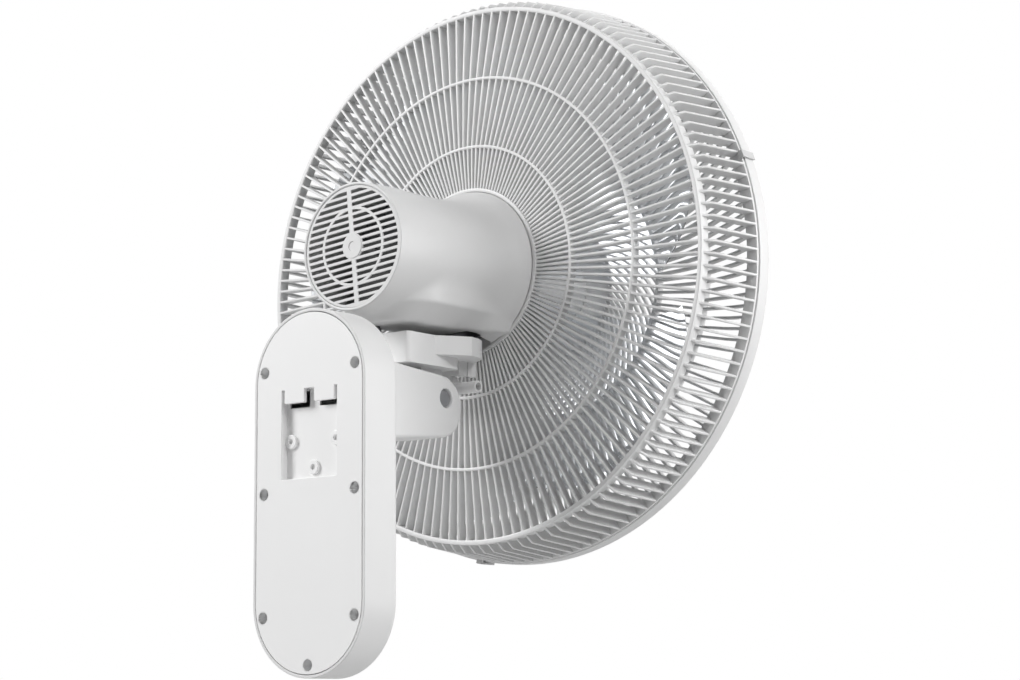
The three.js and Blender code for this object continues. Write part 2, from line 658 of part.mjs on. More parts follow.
function tiltBracket() {
  const saddle = roundedBox(BRACKET_HALF_WIDTH, BRACKET_REAR, BRACKET_FRONT, BRACKET_LOW, PLATE_HIGH, BRACKET_ROUND);
  const left = PLATE_EDGE.map(([half, ahead]) => [-half, PIVOT_Y - ahead]);
  const right = left.map(([x, y]) => [-x, y]).reverse();
  const plate = prismZ([...left, ...right], PLATE_LOW, PLATE_HIGH);
  const leg = [...arc(PIVOT_Y, PIVOT_Z, LEG_RADIUS, 180, 360, 12)];
  leg.push([PIVOT_Y + LEG_RADIUS, BRACKET_LOW + 1], [PIVOT_Y - LEG_RADIUS, BRACKET_LOW + 1]);
  let body = join(saddle, plate, postSkirt(), prismX(leg, -LEG_HALF_WIDTH, LEG_HALF_WIDTH), crossTube());
  body = cut(body, rodZ(POST_FLANGE + 2 * CLEAR, SKIRT_LOW - 1, PLATE_LOW, 0, SWIVEL_Y));
  body = cut(body, rodZ(POST_RADIUS + CLEAR, PLATE_LOW - 1, PLATE_HIGH + 1, 0, SWIVEL_Y));
  body = cut(body, rodZ(LINK_PIN + CLEAR, PLATE_HIGH - PIN_SINK, PLATE_HIGH + 1, LINK_OFFSET, SWIVEL_Y, 12));
  return cut(body, rodX(PIVOT_BOLT + CLEAR, -PIVOT_SEAT, PIVOT_SEAT, PIVOT_Y, PIVOT_Z));
}

// Box under the plate round the foot of the post, with an upright groove in each side.
function postSkirt() {
  const w = SKIRT_HALF_WIDTH;
  const middle = (SKIRT_REAR + SKIRT_FRONT) / 2;
  const box = block(-w, w, SKIRT_REAR, SKIRT_FRONT, SKIRT_LOW, PLATE_LOW + 1);
  const [y0, y1] = [middle + SKIRT_GROOVE / 2, middle - SKIRT_GROOVE / 2];
  const grooves = [w, -w].map((x) => block(x - 1, x + 1, y0, y1, SKIRT_LOW - 1, PLATE_LOW));
  return cut(box, ...grooves);
}

// Tube across the fan, open at both ends, on a web under the skirt.
function crossTube() {
  const web = block(-TUBE_WEB, TUBE_WEB, SKIRT_REAR, SKIRT_REAR - 2 * TUBE_WEB, TUBE_Z, SKIRT_LOW + 1);
  let body = join(web, rodX(TUBE_RADIUS, -TUBE_HALF, TUBE_HALF, TUBE_Y, TUBE_Z));
  for (const side of [-1, 1]) {
    body = cut(body, rodX(TUBE_BORE, side * TUBE_WEB, side * (TUBE_HALF + 1), TUBE_Y, TUBE_Z, 12));
  }
  return body;
}

function swivelPost() {
  const flangeTop = PLATE_LOW - CLEAR;
  const rib = (flangeTop - POST_LOW) / 3;
  const profile = [[0, POST_LOW]];
  for (const [i, r] of [POST_FLANGE, POST_WAIST, POST_FLANGE].entries()) {
    profile.push([r, POST_LOW + rib * i], [r, POST_LOW + rib * (i + 1)]);
  }
  profile.push([POST_RADIUS, flangeTop], [POST_RADIUS, POST_TOP], [0, POST_TOP]);
  return turnedUp(profile, 0, SWIVEL_Y);
}

function linkPin() {
  const top = LINK_LOW + LINK_THICK + 1;
  return rodZ(LINK_PIN, PLATE_HIGH - PIN_SINK + CLEAR, top, LINK_OFFSET, SWIVEL_Y, 12);
}

function oscillationLink() {
  const far = [LINK_OFFSET + CRANK_THROW, CRANK_Y];
  const near = [LINK_OFFSET, SWIVEL_Y];
  const angle = Math.atan2(far[1] - near[1], far[0] - near[0]) / DEG;
  const r = LINK_WIDTH / 2;
  const outline = [...arc(...far, r, angle - 90, angle + 90, 6), ...arc(...near, r, angle + 90, angle + 270, 6)];
  const bar = prismZ(outline, LINK_LOW, LINK_LOW + LINK_THICK);
  const hole = rodZ(LINK_PIN + CLEAR, LINK_LOW - 1, LINK_LOW + LINK_THICK + 1, ...near, 12);
  return cut(bar, hole);
}

function crank() {
  const low = LINK_LOW + LINK_THICK + 2 * CLEAR;
  const r = LINK_WIDTH / 2;
  const [shaftX, pinX] = [LINK_OFFSET, LINK_OFFSET + CRANK_THROW];
  const outline = [...arc(pinX, CRANK_Y, r, -90, 90, 6), ...arc(shaftX, CRANK_Y, r, 90, 270, 6)];
  const arm = prismZ(outline, low, low + CRANK_ARM_THICK);
  const shaft = rodZ(CRANK_SHAFT, low + 1, GEARBOX_LOW + CRANK_SINK, shaftX, CRANK_Y, 12);
  return join(arm, shaft);
}

// ---- Motor cover and vent cap ---------------------------------------------------------------------------
function coverLine(inset) {
  return COVER_PROFILE.map(([r, share]) => [r - inset, CAP_Y + (FLANGE_Y - CAP_Y) * share]);
}

function motorCover() {
  const shell = turned([[0, CAP_Y], ...coverLine(0), [0, FLANGE_Y]], COVER_SIDES);
  const line = coverLine(COVER_WALL);
  const [rear, front] = [CAP_Y + 1, FLANGE_Y - 1];
  const inside = turned([[0, rear], [line[0][0], rear], ...line, [line.at(-1)[0], front], [0, front]], COVER_SIDES);
  let body = cut(join(shell, bulge(0)), inside, bulge(COVER_WALL));
  const w = OPENING_HALF_WIDTH;
  body = cut(body, block(-w, w, FLANGE_Y + OPENING_LENGTH, front, PLATE_LOW, BARREL_TOP + CLEAR));
  return cut(body, rodZ(CRANK_SHAFT + CLEAR + SLIP, BULGE_LOW - 1, GEARBOX_LOW, LINK_OFFSET, CRANK_Y, 12));
}

// Shoulder under the motor: upright sides, then sides that slope in to a flat underside.
function bulge(inset) {
  const levels = [[BULGE_LOW + inset, BULGE_NARROW], [BULGE_RIDGE + inset, BULGE_WIDE], [BULGE_TOP, BULGE_WIDE]];
  return skin(levels.map(([, plan]) => bulgePlan(plan, inset)), ([x, y], k) => [x, y, levels[k][0]]);
}

// Plan of the shoulder: a round rear end, then straight pieces down both sides.
function bulgePlan({ centre, radius, halves }, inset) {
  const left = halves.map((half, k) => [inset - half, FLANGE_Y + BULGE_STATIONS[k]]);
  left.at(-1)[1] += inset;
  const right = left.map(([x, y]) => [-x, y]).reverse();
  return [...arc(0, FLANGE_Y + centre, radius - inset, 0, 180, BULGE_STEPS), ...left, ...right];
}

function ventCap() {
  const rim = COVER_PROFILE[0][0] - COVER_WALL - CLEAR;
  const rear = CAP_Y - VENT_INSET;
  const disc = turned([[0, rear], [rim, rear], [rim, rear - VENT_THICK], [0, rear - VENT_THICK]], COVER_SIDES);
  const [y0, y1] = [rear + 1, rear - VENT_THICK - 1];
  let slots = turned([[0, y0], [VENT_REACH, y0], [VENT_REACH, y1], [0, y1]], VENT_SIDES);
  const lines = [];
  for (let i = 0; i < VENT_SLOTS; i += 1) {
    const z = AXIS_Z + (i - (VENT_SLOTS - 1) / 2) * VENT_PITCH;
    lines.push(block(-VENT_REACH, VENT_REACH, y0, y1, z - VENT_SLOT / 2, z + VENT_SLOT / 2));
  }
  slots = slots.intersect(join(...lines));
  slots = cut(slots, block(-VENT_BAR / 2, VENT_BAR / 2, y0 + 1, y1 - 1, AXIS_Z - rim, AXIS_Z + rim));
  slots = cut(slots, rodY(VENT_HUB, y0 + 1, y1 - 1, 0, AXIS_Z, 12));
  const [a, b] = [VENT_RING - VENT_RING_WIDTH / 2, VENT_RING + VENT_RING_WIDTH / 2];
  slots = cut(slots, turned([[a, y0 + 1], [b, y0 + 1], [b, y1 - 1], [a, y1 - 1]], VENT_SIDES));
  const stub = rodY(VENT_HUB - 1, rear - 1, GEARBOX_REAR + CLEAR, 0, AXIS_Z, 12);
  const bore = rodY(VENT_SCREW_HOLE + CLEAR, rear + 1, GEARBOX_REAR - 1, 0, AXIS_Z, 8);
  const sink = rodY(VENT_SCREW_HEAD + CLEAR, rear + 1, rear - VENT_SCREW_SINK, 0, AXIS_Z, 12);
  return cut(join(cut(disc, slots), stub), bore, sink);
}

function ventScrew() {
  const seat = CAP_Y - VENT_INSET - VENT_SCREW_SINK + CLEAR;
  const head = rodY(VENT_SCREW_HEAD, seat + VENT_SCREW_HEAD_THICK, seat, 0, AXIS_Z, 12);
  return join(head, rodY(VENT_SCREW_HOLE, seat + 1, GEARBOX_REAR - VENT_SCREW_END, 0, AXIS_Z, 8));
}

// ---- Motor --------------------------------------------------------------------------------------------
function gearbox() {
  const w = GEARBOX_HALF_WIDTH;
  const front = SHIELD_REAR + CLEAR;
  const foot = block(-w, w, GEARBOX_FOOT_REAR, front, GEARBOX_LOW, GEARBOX_STEP + 1);
  let body = join(block(-w, w, GEARBOX_REAR, front, GEARBOX_STEP, GEARBOX_HIGH), foot);
  body = cut(body, rodY(SHAFT_RADIUS + CLEAR, SHAFT_REAR + CLEAR, front - 1, 0, AXIS_Z));
  const screwEnd = GEARBOX_REAR - VENT_SCREW_END - 1;
  body = cut(body, rodY(VENT_SCREW_HOLE + CLEAR, GEARBOX_REAR + 1, screwEnd, 0, AXIS_Z, 8));
  const crankTop = GEARBOX_LOW + CRANK_SINK + CLEAR;
  return cut(body, rodZ(CRANK_SHAFT + CLEAR, GEARBOX_LOW - 1, crankTop, LINK_OFFSET, CRANK_Y, 12));
}

const STATOR_FRONT = STATOR_REAR - STATOR_LENGTH;

// Cup (plate at y0, rim at y1) with a bearing seat that opens towards the motor.
function shield(y0, y1, plate) {
  const way = Math.sign(y1 - y0);
  const r = STATOR_RADIUS;
  const seat = y0 + way * 2;
  const boss = seat + way * (BEARING_WIDTH + CLEAR);
  return turned([
    [SHAFT_RADIUS + 1, y0], [r, y0], [r, y1], [r - SHIELD_WALL, y1], [r - SHIELD_WALL, y0 + way * plate],
    [BEARING_RADIUS + SHIELD_WALL, y0 + way * plate], [BEARING_RADIUS + SHIELD_WALL, boss],
    [BEARING_RADIUS + CLEAR, boss], [BEARING_RADIUS + CLEAR, seat], [SHAFT_RADIUS + 1, seat],
  ]);
}

function rearShield() {
  return shield(SHIELD_REAR, STATOR_REAR + CLEAR, SHIELD_PLATE);
}

function frontShield() {
  let body = shield(SHIELD_FRONT, STATOR_FRONT - CLEAR, SHIELD_PLATE);
  const back = SHIELD_FRONT;
  const face = FLANGE_Y + CLEAR;
  const wide = coverLine(COVER_WALL).at(-2)[0] + 1;
  const mount = turned([[SHAFT_RADIUS + 1, back + 1], [wide, back + 1], [wide, face], [SHAFT_RADIUS + 1, face]]);
  const tip = FLANGE_Y - COLLAR_LENGTH;
  const inner = COLLAR_RADIUS - COLLAR_WALL;
  const collar = turned([[inner, face + 1], [COLLAR_RADIUS, face + 1], [COLLAR_RADIUS, tip], [inner, tip]]);
  body = join(body, mount, collar);
  const low = LINK_LOW + LINK_THICK + CLEAR;
  const barrel = rodZ(BARREL_RADIUS, low, BARREL_TOP, 0, SWIVEL_Y);
  const lug = block(-BARREL_RADIUS + 1, BARREL_RADIUS - 1, SWIVEL_Y, back - 1, low + 3, AXIS_Z - 30);
  body = join(body, barrel, lug);
  return cut(body, rodZ(POST_RADIUS + CLEAR, low - 1, POST_TOP + CLEAR, 0, SWIVEL_Y));
}

function statorCore() {
  const [a, b] = [STATOR_REAR, STATOR_FRONT];
  return turned([[STATOR_BORE, a], [STATOR_RADIUS, a], [STATOR_RADIUS, b], [STATOR_BORE, b]]);
}

function winding(face, way) {
  const y0 = face + way * CLEAR;
  const y1 = y0 + way * WINDING_LENGTH;
  const [a, b] = [WINDING_BORE, WINDING_RADIUS];
  return turned([[a, y0], [b, y0], [b, y1 - way * 3], [b - 3, y1], [a + 2, y1], [a, y1 - way * 2]]);
}

function bearing(y0, y1) {
  const [a, b] = [SHAFT_RADIUS + CLEAR, BEARING_RADIUS];
  const chamfer = (y1 - y0) * 0.1;
  return turned([[a, y0], [b - 1, y0], [b, y0 + chamfer], [b, y1 - chamfer], [b - 1, y1], [a, y1]]);
}

function rotorCore() {
  const [a, b] = [STATOR_REAR + 1, STATOR_FRONT - 1];
  const [inner, outer] = [SHAFT_RADIUS + CLEAR, STATOR_BORE - 2 * CLEAR];
  const ring = outer - 6;
  return turned([
    [inner, a], [ring, a], [ring, a + 5], [outer, a + 5], [outer, b - 5], [ring, b - 5], [ring, b], [inner, b],
  ]);
}

function motorShaft() {
  return rodY(SHAFT_RADIUS, SHAFT_REAR, SHAFT_FRONT, 0, AXIS_Z);
}

// ---- Rib grilles --------------------------------------------------------------------------------------
// Each station is { out: [r, y], in: [r, y], turn }. Every rib is a plate through all stations;
// the spans listed in rings are also carried round from rib to rib.
function ribGrille(stations, rings, count) {
  const levels = stations.length;
  const at = (rib, k, side, level) => (((rib % count) * levels + k) * 2 + side) * 2 + level;
  const positions = [];
  for (let rib = 0; rib < count; rib += 1) {
    for (const station of stations) {
      const angle = (rib / count) * 2 * Math.PI + (station.turn ?? 0) * DEG;
      for (const side of [-1, 1]) {
        for (const [r, y] of [station.out, station.in]) {
          const t = (side * RIB_THICK) / 2;
          const x = r * Math.sin(angle) + t * Math.cos(angle);
          const z = r * Math.cos(angle) - t * Math.sin(angle);
          positions.push(x, y, z + AXIS_Z);
        }
      }
    }
  }
  const faces = [];
  const quad = (a, b, c, d) => faces.push(a, b, c, a, c, d);
  for (let rib = 0; rib < count; rib += 1) {
    ribFaces(quad, at, rib, levels, rings);
  }
  const geometry = new THREE.BufferGeometry();
  geometry.setAttribute('position', new THREE.Float32BufferAttribute(positions, 3));
  geometry.setIndex(faces);
  return solid(geometry);
}

function ribFaces(quad, at, rib, levels, rings) {
  const next = rib + 1;
  for (let k = 0; k + 1 < levels; k += 1) {
    quad(at(rib, k, 0, 0), at(rib, k, 1, 0), at(rib, k + 1, 1, 0), at(rib, k + 1, 0, 0));
    quad(at(rib, k, 0, 1), at(rib, k + 1, 0, 1), at(rib, k + 1, 1, 1), at(rib, k, 1, 1));
    if (rings.includes(k)) {
      quad(at(rib, k, 1, 0), at(next, k, 0, 0), at(next, k + 1, 0, 0), at(rib, k + 1, 1, 0));
      quad(at(rib, k, 1, 1), at(rib, k + 1, 1, 1), at(next, k + 1, 0, 1), at(next, k, 0, 1));
      quad(at(rib, k, 1, 0), at(rib, k, 1, 1), at(next, k, 0, 1), at(next, k, 0, 0));
      quad(at(rib, k + 1, 1, 0), at(next, k + 1, 0, 0), at(next, k + 1, 0, 1), at(rib, k + 1, 1, 1));
    } else {
      quad(at(rib, k, 1, 0), at(rib, k, 1, 1), at(rib, k + 1, 1, 1), at(rib, k + 1, 1, 0));
      quad(at(rib, k, 0, 0), at(rib, k + 1, 0, 0), at(rib, k + 1, 0, 1), at(rib, k, 0, 1));
    }
  }
  const last = levels - 1;
  quad(at(rib, 0, 0, 0), at(rib, 0, 0, 1), at(rib, 0, 1, 1), at(rib, 0, 1, 0));
  quad(at(rib, last, 0, 0), at(rib, last, 1, 0), at(rib, last, 1, 1), at(rib, last, 0, 1));
}

function ringSpan([radius, ahead], depth) {
  const half = RING_WIDTH / 2;
  const y = FLANGE_Y - ahead;
  return [-half, half].map((d) => ({ out: [radius + d, y], in: [radius + d, y - depth] }));
}

function rearGrille() {
  const hub = COVER_PROFILE.at(-1)[0];
  const face = FLANGE_Y - CLEAR;
  const bore = COLLAR_RADIUS + 2 * CLEAR;
  const bend = RIM_RADIUS - BEND_INSET;
  const bendY = FLANGE_Y - BEND_AHEAD;
  const stations = [
    { out: [bore, face], in: [bore, face - HUB_PLATE] },
    { out: [hub, face], in: [hub, face - HUB_PLATE] },
    { out: [hub + RIB_DEPTH / 2, face], in: [hub + RIB_DEPTH / 2, face - RIB_DEPTH] },
    ...ringSpan(RING_ONE, RIB_DEPTH),
    ...ringSpan(RING_TWO, RIB_DEPTH),
    ...ringSpan([RIM_RADIUS - RING_THREE_INSET, RING_THREE_AHEAD], RING_THREE_DEPTH),
    { out: [bend, bendY], in: [bend - RIM_WIDTH, bendY - RIB_DEPTH / 2] },
    { out: [RIM_RADIUS, RIM_Y], in: [RIM_RADIUS - RIM_WIDTH, RIM_Y] },
    { out: [RIM_RADIUS, RIM_Y - RIM_HEIGHT], in: [RIM_RADIUS - RIM_WIDTH, RIM_Y - RIM_HEIGHT] },
  ];
  return ribGrille(stations, [0, 3, 5, 7, 10], REAR_RIBS);
}

function domeSpan([radius, ahead]) {
  const half = RING_WIDTH / 2;
  const y = RIM_Y - ahead;
  return [half, -half].map((d) => ({ out: [radius + d, y], in: [radius + d, y + DOME_DEPTH] }));
}

function frontGrille() {
  const seam = RIM_Y - RIM_HEIGHT - CLEAR;
  const crown = seam - FRONT_RIM_HEIGHT;
  const [hubRadius, hubAhead] = DOME_HUB;
  const hubY = RIM_Y - hubAhead;
  const inner = RIM_RADIUS - RIM_WIDTH;
  const shoulder = inner - SHOULDER_INSET;
  const stations = [
    { out: [FRONT_RIM_RADIUS, seam], in: [inner, seam] },
    { out: [FRONT_RIM_RADIUS - 1, crown], in: [inner, crown + DOME_DEPTH] },
    { out: [shoulder, crown - DOME_DEPTH], in: [shoulder, crown] },
    ...domeSpan(DOME_RING_OUT),
    ...domeSpan(DOME_RING_MID),
    { out: [hubRadius, hubY], in: [hubRadius, hubY + HUB_PLATE], turn: DOME_TWIST },
    { out: [DOME_HUB_BORE, hubY], in: [DOME_HUB_BORE, hubY + HUB_PLATE], turn: DOME_TWIST },
  ];
  return ribGrille(stations, [0, 3, 5, 7], FRONT_RIBS);
}

function lockNut() {
  const y0 = FLANGE_Y - HUB_PLATE - 2 * CLEAR;
  const bore = COLLAR_RADIUS + CLEAR;
  const ring = turned([[bore, y0], [NUT_RADIUS, y0], [NUT_RADIUS - 2, y0 - NUT_LENGTH], [bore, y0 - NUT_LENGTH]]);
  const reach = NUT_RADIUS + 1;
  const grips = Array.from({ length: NUT_GRIPS }, (_, i) => {
    const angle = (i / NUT_GRIPS) * 2 * Math.PI;
    const [x, z] = [reach * Math.sin(angle), AXIS_Z + reach * Math.cos(angle)];
    return rodY(NUT_GRIP_RADIUS, y0 + 1, y0 - NUT_LENGTH - 1, x, z, 6);
  });
  return cut(ring, ...grips);
}

function centreBadge() {
  const face = RIM_Y - DOME_HUB[1];
  const y0 = face - CLEAR;
  const stem = DOME_HUB_BORE - CLEAR;
  const edge = BADGE_RADIUS - 2;
  return turned([
    [0, face + HUB_PLATE], [stem, face + HUB_PLATE], [stem, y0], [BADGE_RADIUS, y0],
    [BADGE_RADIUS, y0 - 1], [edge, y0 - BADGE_THICK], [0, y0 - BADGE_THICK - 1],
  ], FRONT_RIBS);
}

function rimClip(index) {
  const [y0, y1] = [RIM_Y + CLEAR + CLIP_WALL, RIM_Y - CLIP_REACH];
  const inner = FRONT_RIM_RADIUS + CLEAR;
  const lip = RIM_RADIUS - CLIP_WALL;
  const outline = [[lip, y0], [inner + CLIP_WALL, y0], [inner + CLIP_WALL, y1], [inner, y1]];
  outline.push([inner, RIM_Y + CLEAR], [lip, RIM_Y + CLEAR]);
  const angle = (CLIP_ANGLE + (index * 360) / CLIP_COUNT) * DEG;
  const clip = extruded(outline, CLIP_WIDTH, 0).translate(0, 0, -CLIP_WIDTH / 2);
  return solid(clip.rotateY(angle - Math.PI / 2).translate(0, 0, AXIS_Z));
}

// ---- Rotor --------------------------------------------------------------------------------------------
// Grid point of a blade: u runs from hub to tip, v from the leading to the trailing edge.
function bladePoint(u, v, level) {
  const r = BLADE_HUB - 2 + (BLADE_TIP - BLADE_HUB + 2) * u;
  const spread = BLADE_SPAN * (0.72 + 0.75 * u - 0.47 * u * u);
  const lean = 10 * u * u;
  const angle = ((v - 0.5) * spread + lean) * DEG;
  const round = 1 - 0.12 * (2 * v - 1) ** 2 * u ** 3;
  const depth = BLADE_DEPTH * (0.82 - 0.22 * u);
  const y = BLADE_REAR - BLADE_THICK - depth * v - 3 * Math.sin(Math.PI * v) + level * BLADE_THICK;
  return [r * round * Math.sin(angle), y, r * round * Math.cos(angle)];
}

function bladeGeometry(turn) {
  const [nu, nv] = [6, 4];
  const at = (i, j, level) => (i * nv + j) * 2 + level;
  const positions = [];
  for (let i = 0; i < nu; i += 1) {
    for (let j = 0; j < nv; j += 1) {
      for (const level of [0, 1]) positions.push(...bladePoint(i / (nu - 1), j / (nv - 1), level));
    }
  }
  const faces = [];
  const quad = (a, b, c, d) => faces.push(a, b, c, a, c, d);
  for (let i = 0; i + 1 < nu; i += 1) {
    for (let j = 0; j + 1 < nv; j += 1) {
      quad(at(i, j, 0), at(i, j + 1, 0), at(i + 1, j + 1, 0), at(i + 1, j, 0));
      quad(at(i, j, 1), at(i + 1, j, 1), at(i + 1, j + 1, 1), at(i, j + 1, 1));
    }
    quad(at(i, 0, 0), at(i + 1, 0, 0), at(i + 1, 0, 1), at(i, 0, 1));
    quad(at(i, nv - 1, 0), at(i, nv - 1, 1), at(i + 1, nv - 1, 1), at(i + 1, nv - 1, 0));
  }
  for (let j = 0; j + 1 < nv; j += 1) {
    quad(at(0, j, 0), at(0, j, 1), at(0, j + 1, 1), at(0, j + 1, 0));
    quad(at(nu - 1, j, 0), at(nu - 1, j + 1, 0), at(nu - 1, j + 1, 1), at(nu - 1, j, 1));
  }
  const geometry = new THREE.BufferGeometry();
  geometry.setAttribute('position', new THREE.Float32BufferAttribute(positions, 3));
  geometry.setIndex(faces);
  return geometry.rotateY(turn).translate(0, 0, AXIS_Z);
}

function fanBlade() {
  const [rear, front] = [BLADE_REAR, BLADE_REAR - HUB_LENGTH];
  const [r, wall, core] = [BLADE_HUB, HUB_WALL, HUB_CORE];
  const bore = SHAFT_RADIUS + CLEAR;
  let body = turned([
    [bore, rear], [core, rear], [core, front + wall], [r - wall, front + wall], [r - wall, rear],
    [r, rear], [r, front + wall], [r - wall, front], [bore, front],
  ]);
  for (let i = 0; i < BLADE_COUNT; i += 1) {
    body = join(body, solid(bladeGeometry((i * 2 * Math.PI) / BLADE_COUNT)));
  }
  const hollow = [[core, rear + core], [r - wall, rear + core], [r - wall, front + wall], [core, front + wall]];
  return cut(body, turned(hollow), rodY(bore, rear + HUB_CORE, front - HUB_CORE, 0, AXIS_Z));
}

function spinnerNut() {
  const y0 = BLADE_REAR - HUB_LENGTH - CLEAR;
  const y1 = y0 - SPINNER_LENGTH;
  const [r, bore] = [SPINNER_RADIUS, SHAFT_RADIUS + CLEAR];
  const end = SHAFT_FRONT - CLEAR;
  return turned([
    [0, end], [bore, end], [bore, y0], [r, y0], [r, y0 - 6], [r * 0.9, y0 - 11], [r * 0.6, y1 + 1], [0, y1],
  ]);
}

// ---- Assembly -----------------------------------------------------------------------------------------
const fan = new THREE.Group();

function add(name, body, look) {
  const mesh = new THREE.Mesh(geometryOf(body), new THREE.MeshStandardMaterial(look));
  mesh.name = name;
  fan.add(mesh);
}

function addWallBox() {
  add('housing_shell', housingShell(), WHITE);
  add('back_cover', backCover(), WHITE);
  screwPlaces().forEach((place, i) => add(`back_cover_screw_${i + 1}`, coverScrew(place), STEEL));
  add('control_board', controlBoard(), GREEN);
  buttonHeights().forEach((z, i) => add(`push_button_${i + 1}`, button(z), PALE));
  add('neck_shell', neckShell(), WHITE);
  add('pivot_bolt', pivotBolt(), STEEL);
  add('pivot_nut', pivotNut(), STEEL);
}

function addTiltBracket() {
  add('tilt_bracket', tiltBracket(), WHITE);
  add('swivel_post', swivelPost(), PALE);
  add('link_pin', linkPin(), STEEL);
  add('oscillation_link', oscillationLink(), DARK_STEEL);
}

function addHead() {
  add('motor_cover', motorCover(), PALE);
  add('vent_cap', ventCap(), PALE);
  add('vent_cap_screw', ventScrew(), STEEL);
  add('gearbox_housing', gearbox(), PALE);
  add('crank_arm', crank(), DARK_STEEL);
  add('rear_end_shield', rearShield(), CAST);
  add('front_end_shield', frontShield(), CAST);
  add('stator_core', statorCore(), DARK_STEEL);
  add('winding_rear', winding(STATOR_REAR, 1), COPPER);
  add('winding_front', winding(STATOR_FRONT, -1), COPPER);
  const rearSeat = SHIELD_REAR - 2 - CLEAR;
  const frontSeat = SHIELD_FRONT + 2 + CLEAR;
  add('bearing_rear', bearing(rearSeat, rearSeat - BEARING_WIDTH), STEEL);
  add('bearing_front', bearing(frontSeat, frontSeat + BEARING_WIDTH), STEEL);
}

function addGrilles() {
  add('rear_grille', rearGrille(), WHITE);
  add('grille_lock_nut', lockNut(), PALE);
  add('front_grille', frontGrille(), WHITE);
  add('centre_badge', centreBadge(), PALE);
  for (let i = 0; i < CLIP_COUNT; i += 1) add(`rim_clip_${i + 1}`, rimClip(i), WHITE);
}

function addRotor() {
  add('rotor_core', rotorCore(), DARK_STEEL);
  add('motor_shaft', motorShaft(), STEEL);
  add('fan_blade', fanBlade(), CLEAR_BLUE);
  add('spinner_nut', spinnerNut(), PALE);
}

addWallBox();
addTiltBracket();
addHead();
addGrilles();
addRotor();

export default fan;
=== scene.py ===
"""Dresses the wall mounted fan: smooth moulded shells, rib grilles, clear blades and finishes."""

import math

import bmesh
import bpy
import numpy as np
from bpy.props import FloatProperty, FloatVectorProperty, IntProperty, PointerProperty
from bpy.types import Operator, Panel, PropertyGroup
from mathutils import Matrix, Vector


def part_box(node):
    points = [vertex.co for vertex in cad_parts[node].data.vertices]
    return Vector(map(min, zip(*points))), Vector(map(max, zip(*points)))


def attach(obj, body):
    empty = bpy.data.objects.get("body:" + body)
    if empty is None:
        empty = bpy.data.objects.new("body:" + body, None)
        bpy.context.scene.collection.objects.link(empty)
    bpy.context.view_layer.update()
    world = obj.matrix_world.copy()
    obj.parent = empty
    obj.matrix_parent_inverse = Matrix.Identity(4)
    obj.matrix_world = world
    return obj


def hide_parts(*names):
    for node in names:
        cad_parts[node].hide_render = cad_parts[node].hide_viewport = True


bl_info = {
    "name": "Wall Mounted Fan",
    "version": (1, 0, 0),
    "blender": (4, 5, 0),
    "location": "3D View > Sidebar > Wall Fan",
    "description": "Builds the shells, grilles, blades and finishes of a wall mounted fan",
    "category": "Object",
}

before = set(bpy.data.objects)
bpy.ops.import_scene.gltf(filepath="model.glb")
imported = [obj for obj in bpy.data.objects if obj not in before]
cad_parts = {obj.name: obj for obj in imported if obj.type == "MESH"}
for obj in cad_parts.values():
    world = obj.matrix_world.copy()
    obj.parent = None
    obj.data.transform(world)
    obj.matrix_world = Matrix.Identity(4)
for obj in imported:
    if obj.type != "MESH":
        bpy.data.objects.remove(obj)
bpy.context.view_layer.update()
MM = 0.001
SHAFT_LOW, SHAFT_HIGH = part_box("motor_shaft")
AXIS_Z = (SHAFT_LOW.z + SHAFT_HIGH.z) / 2
SHELL_LOW, SHELL_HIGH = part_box("housing_shell")
COVER_LOW, COVER_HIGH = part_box("motor_cover")
FRONT_LOW, FRONT_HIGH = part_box("front_grille")
MERGE = 1e-6  # metres within which two points count as one
FLAT_SHARP = 14  # degrees, low enough to part a flat face from the rounded edge round it
COPY_SHARP = 30  # degrees between the faces of a CAD node at an edge that is rounded
FINE_GRAIN = 0.02 * MM  # depth of the grain in plastic and metal
RECESS_THICK = 1.8 * MM  # floor and walls of the hanging recess
OPEN_HALF, OPEN_FRONT, OPEN_DROP = 22 * MM, -148 * MM, 35 * MM  # opening under the motor cover
REACH_FROM, REACH_TO, REACH_COUNT = 30, 66, 120  # millimetres and number of the bulge's distances
SLOT_LEAST = 0.9 * MM  # a vent slot ends where it gets shorter than this
FLOOR_GLOW = 0.55  # how bright the camera sees the floor without the lamps


# ---- Sizes, colours and view ------------------------------------------------------------------


def length(name, description, millimetres):
    """A length property in metres from a default in millimetres."""
    default = millimetres * MM
    return FloatProperty(name=name, description=description, default=default, unit="LENGTH")


def colour(name, description, default):
    """A colour property."""
    return FloatVectorProperty(
        name=name, description=description, default=default, size=3, min=0, max=1, subtype="COLOR"
    )


def angle(name, description, degrees):
    """An angle property in radians from a default in degrees."""
    return FloatProperty(
        name=name, description=description, default=math.radians(degrees), subtype="ANGLE"
    )


def power(name, description, watts):
    """A lamp's power property."""
    return FloatProperty(name=name, description=description, default=watts, unit="POWER")


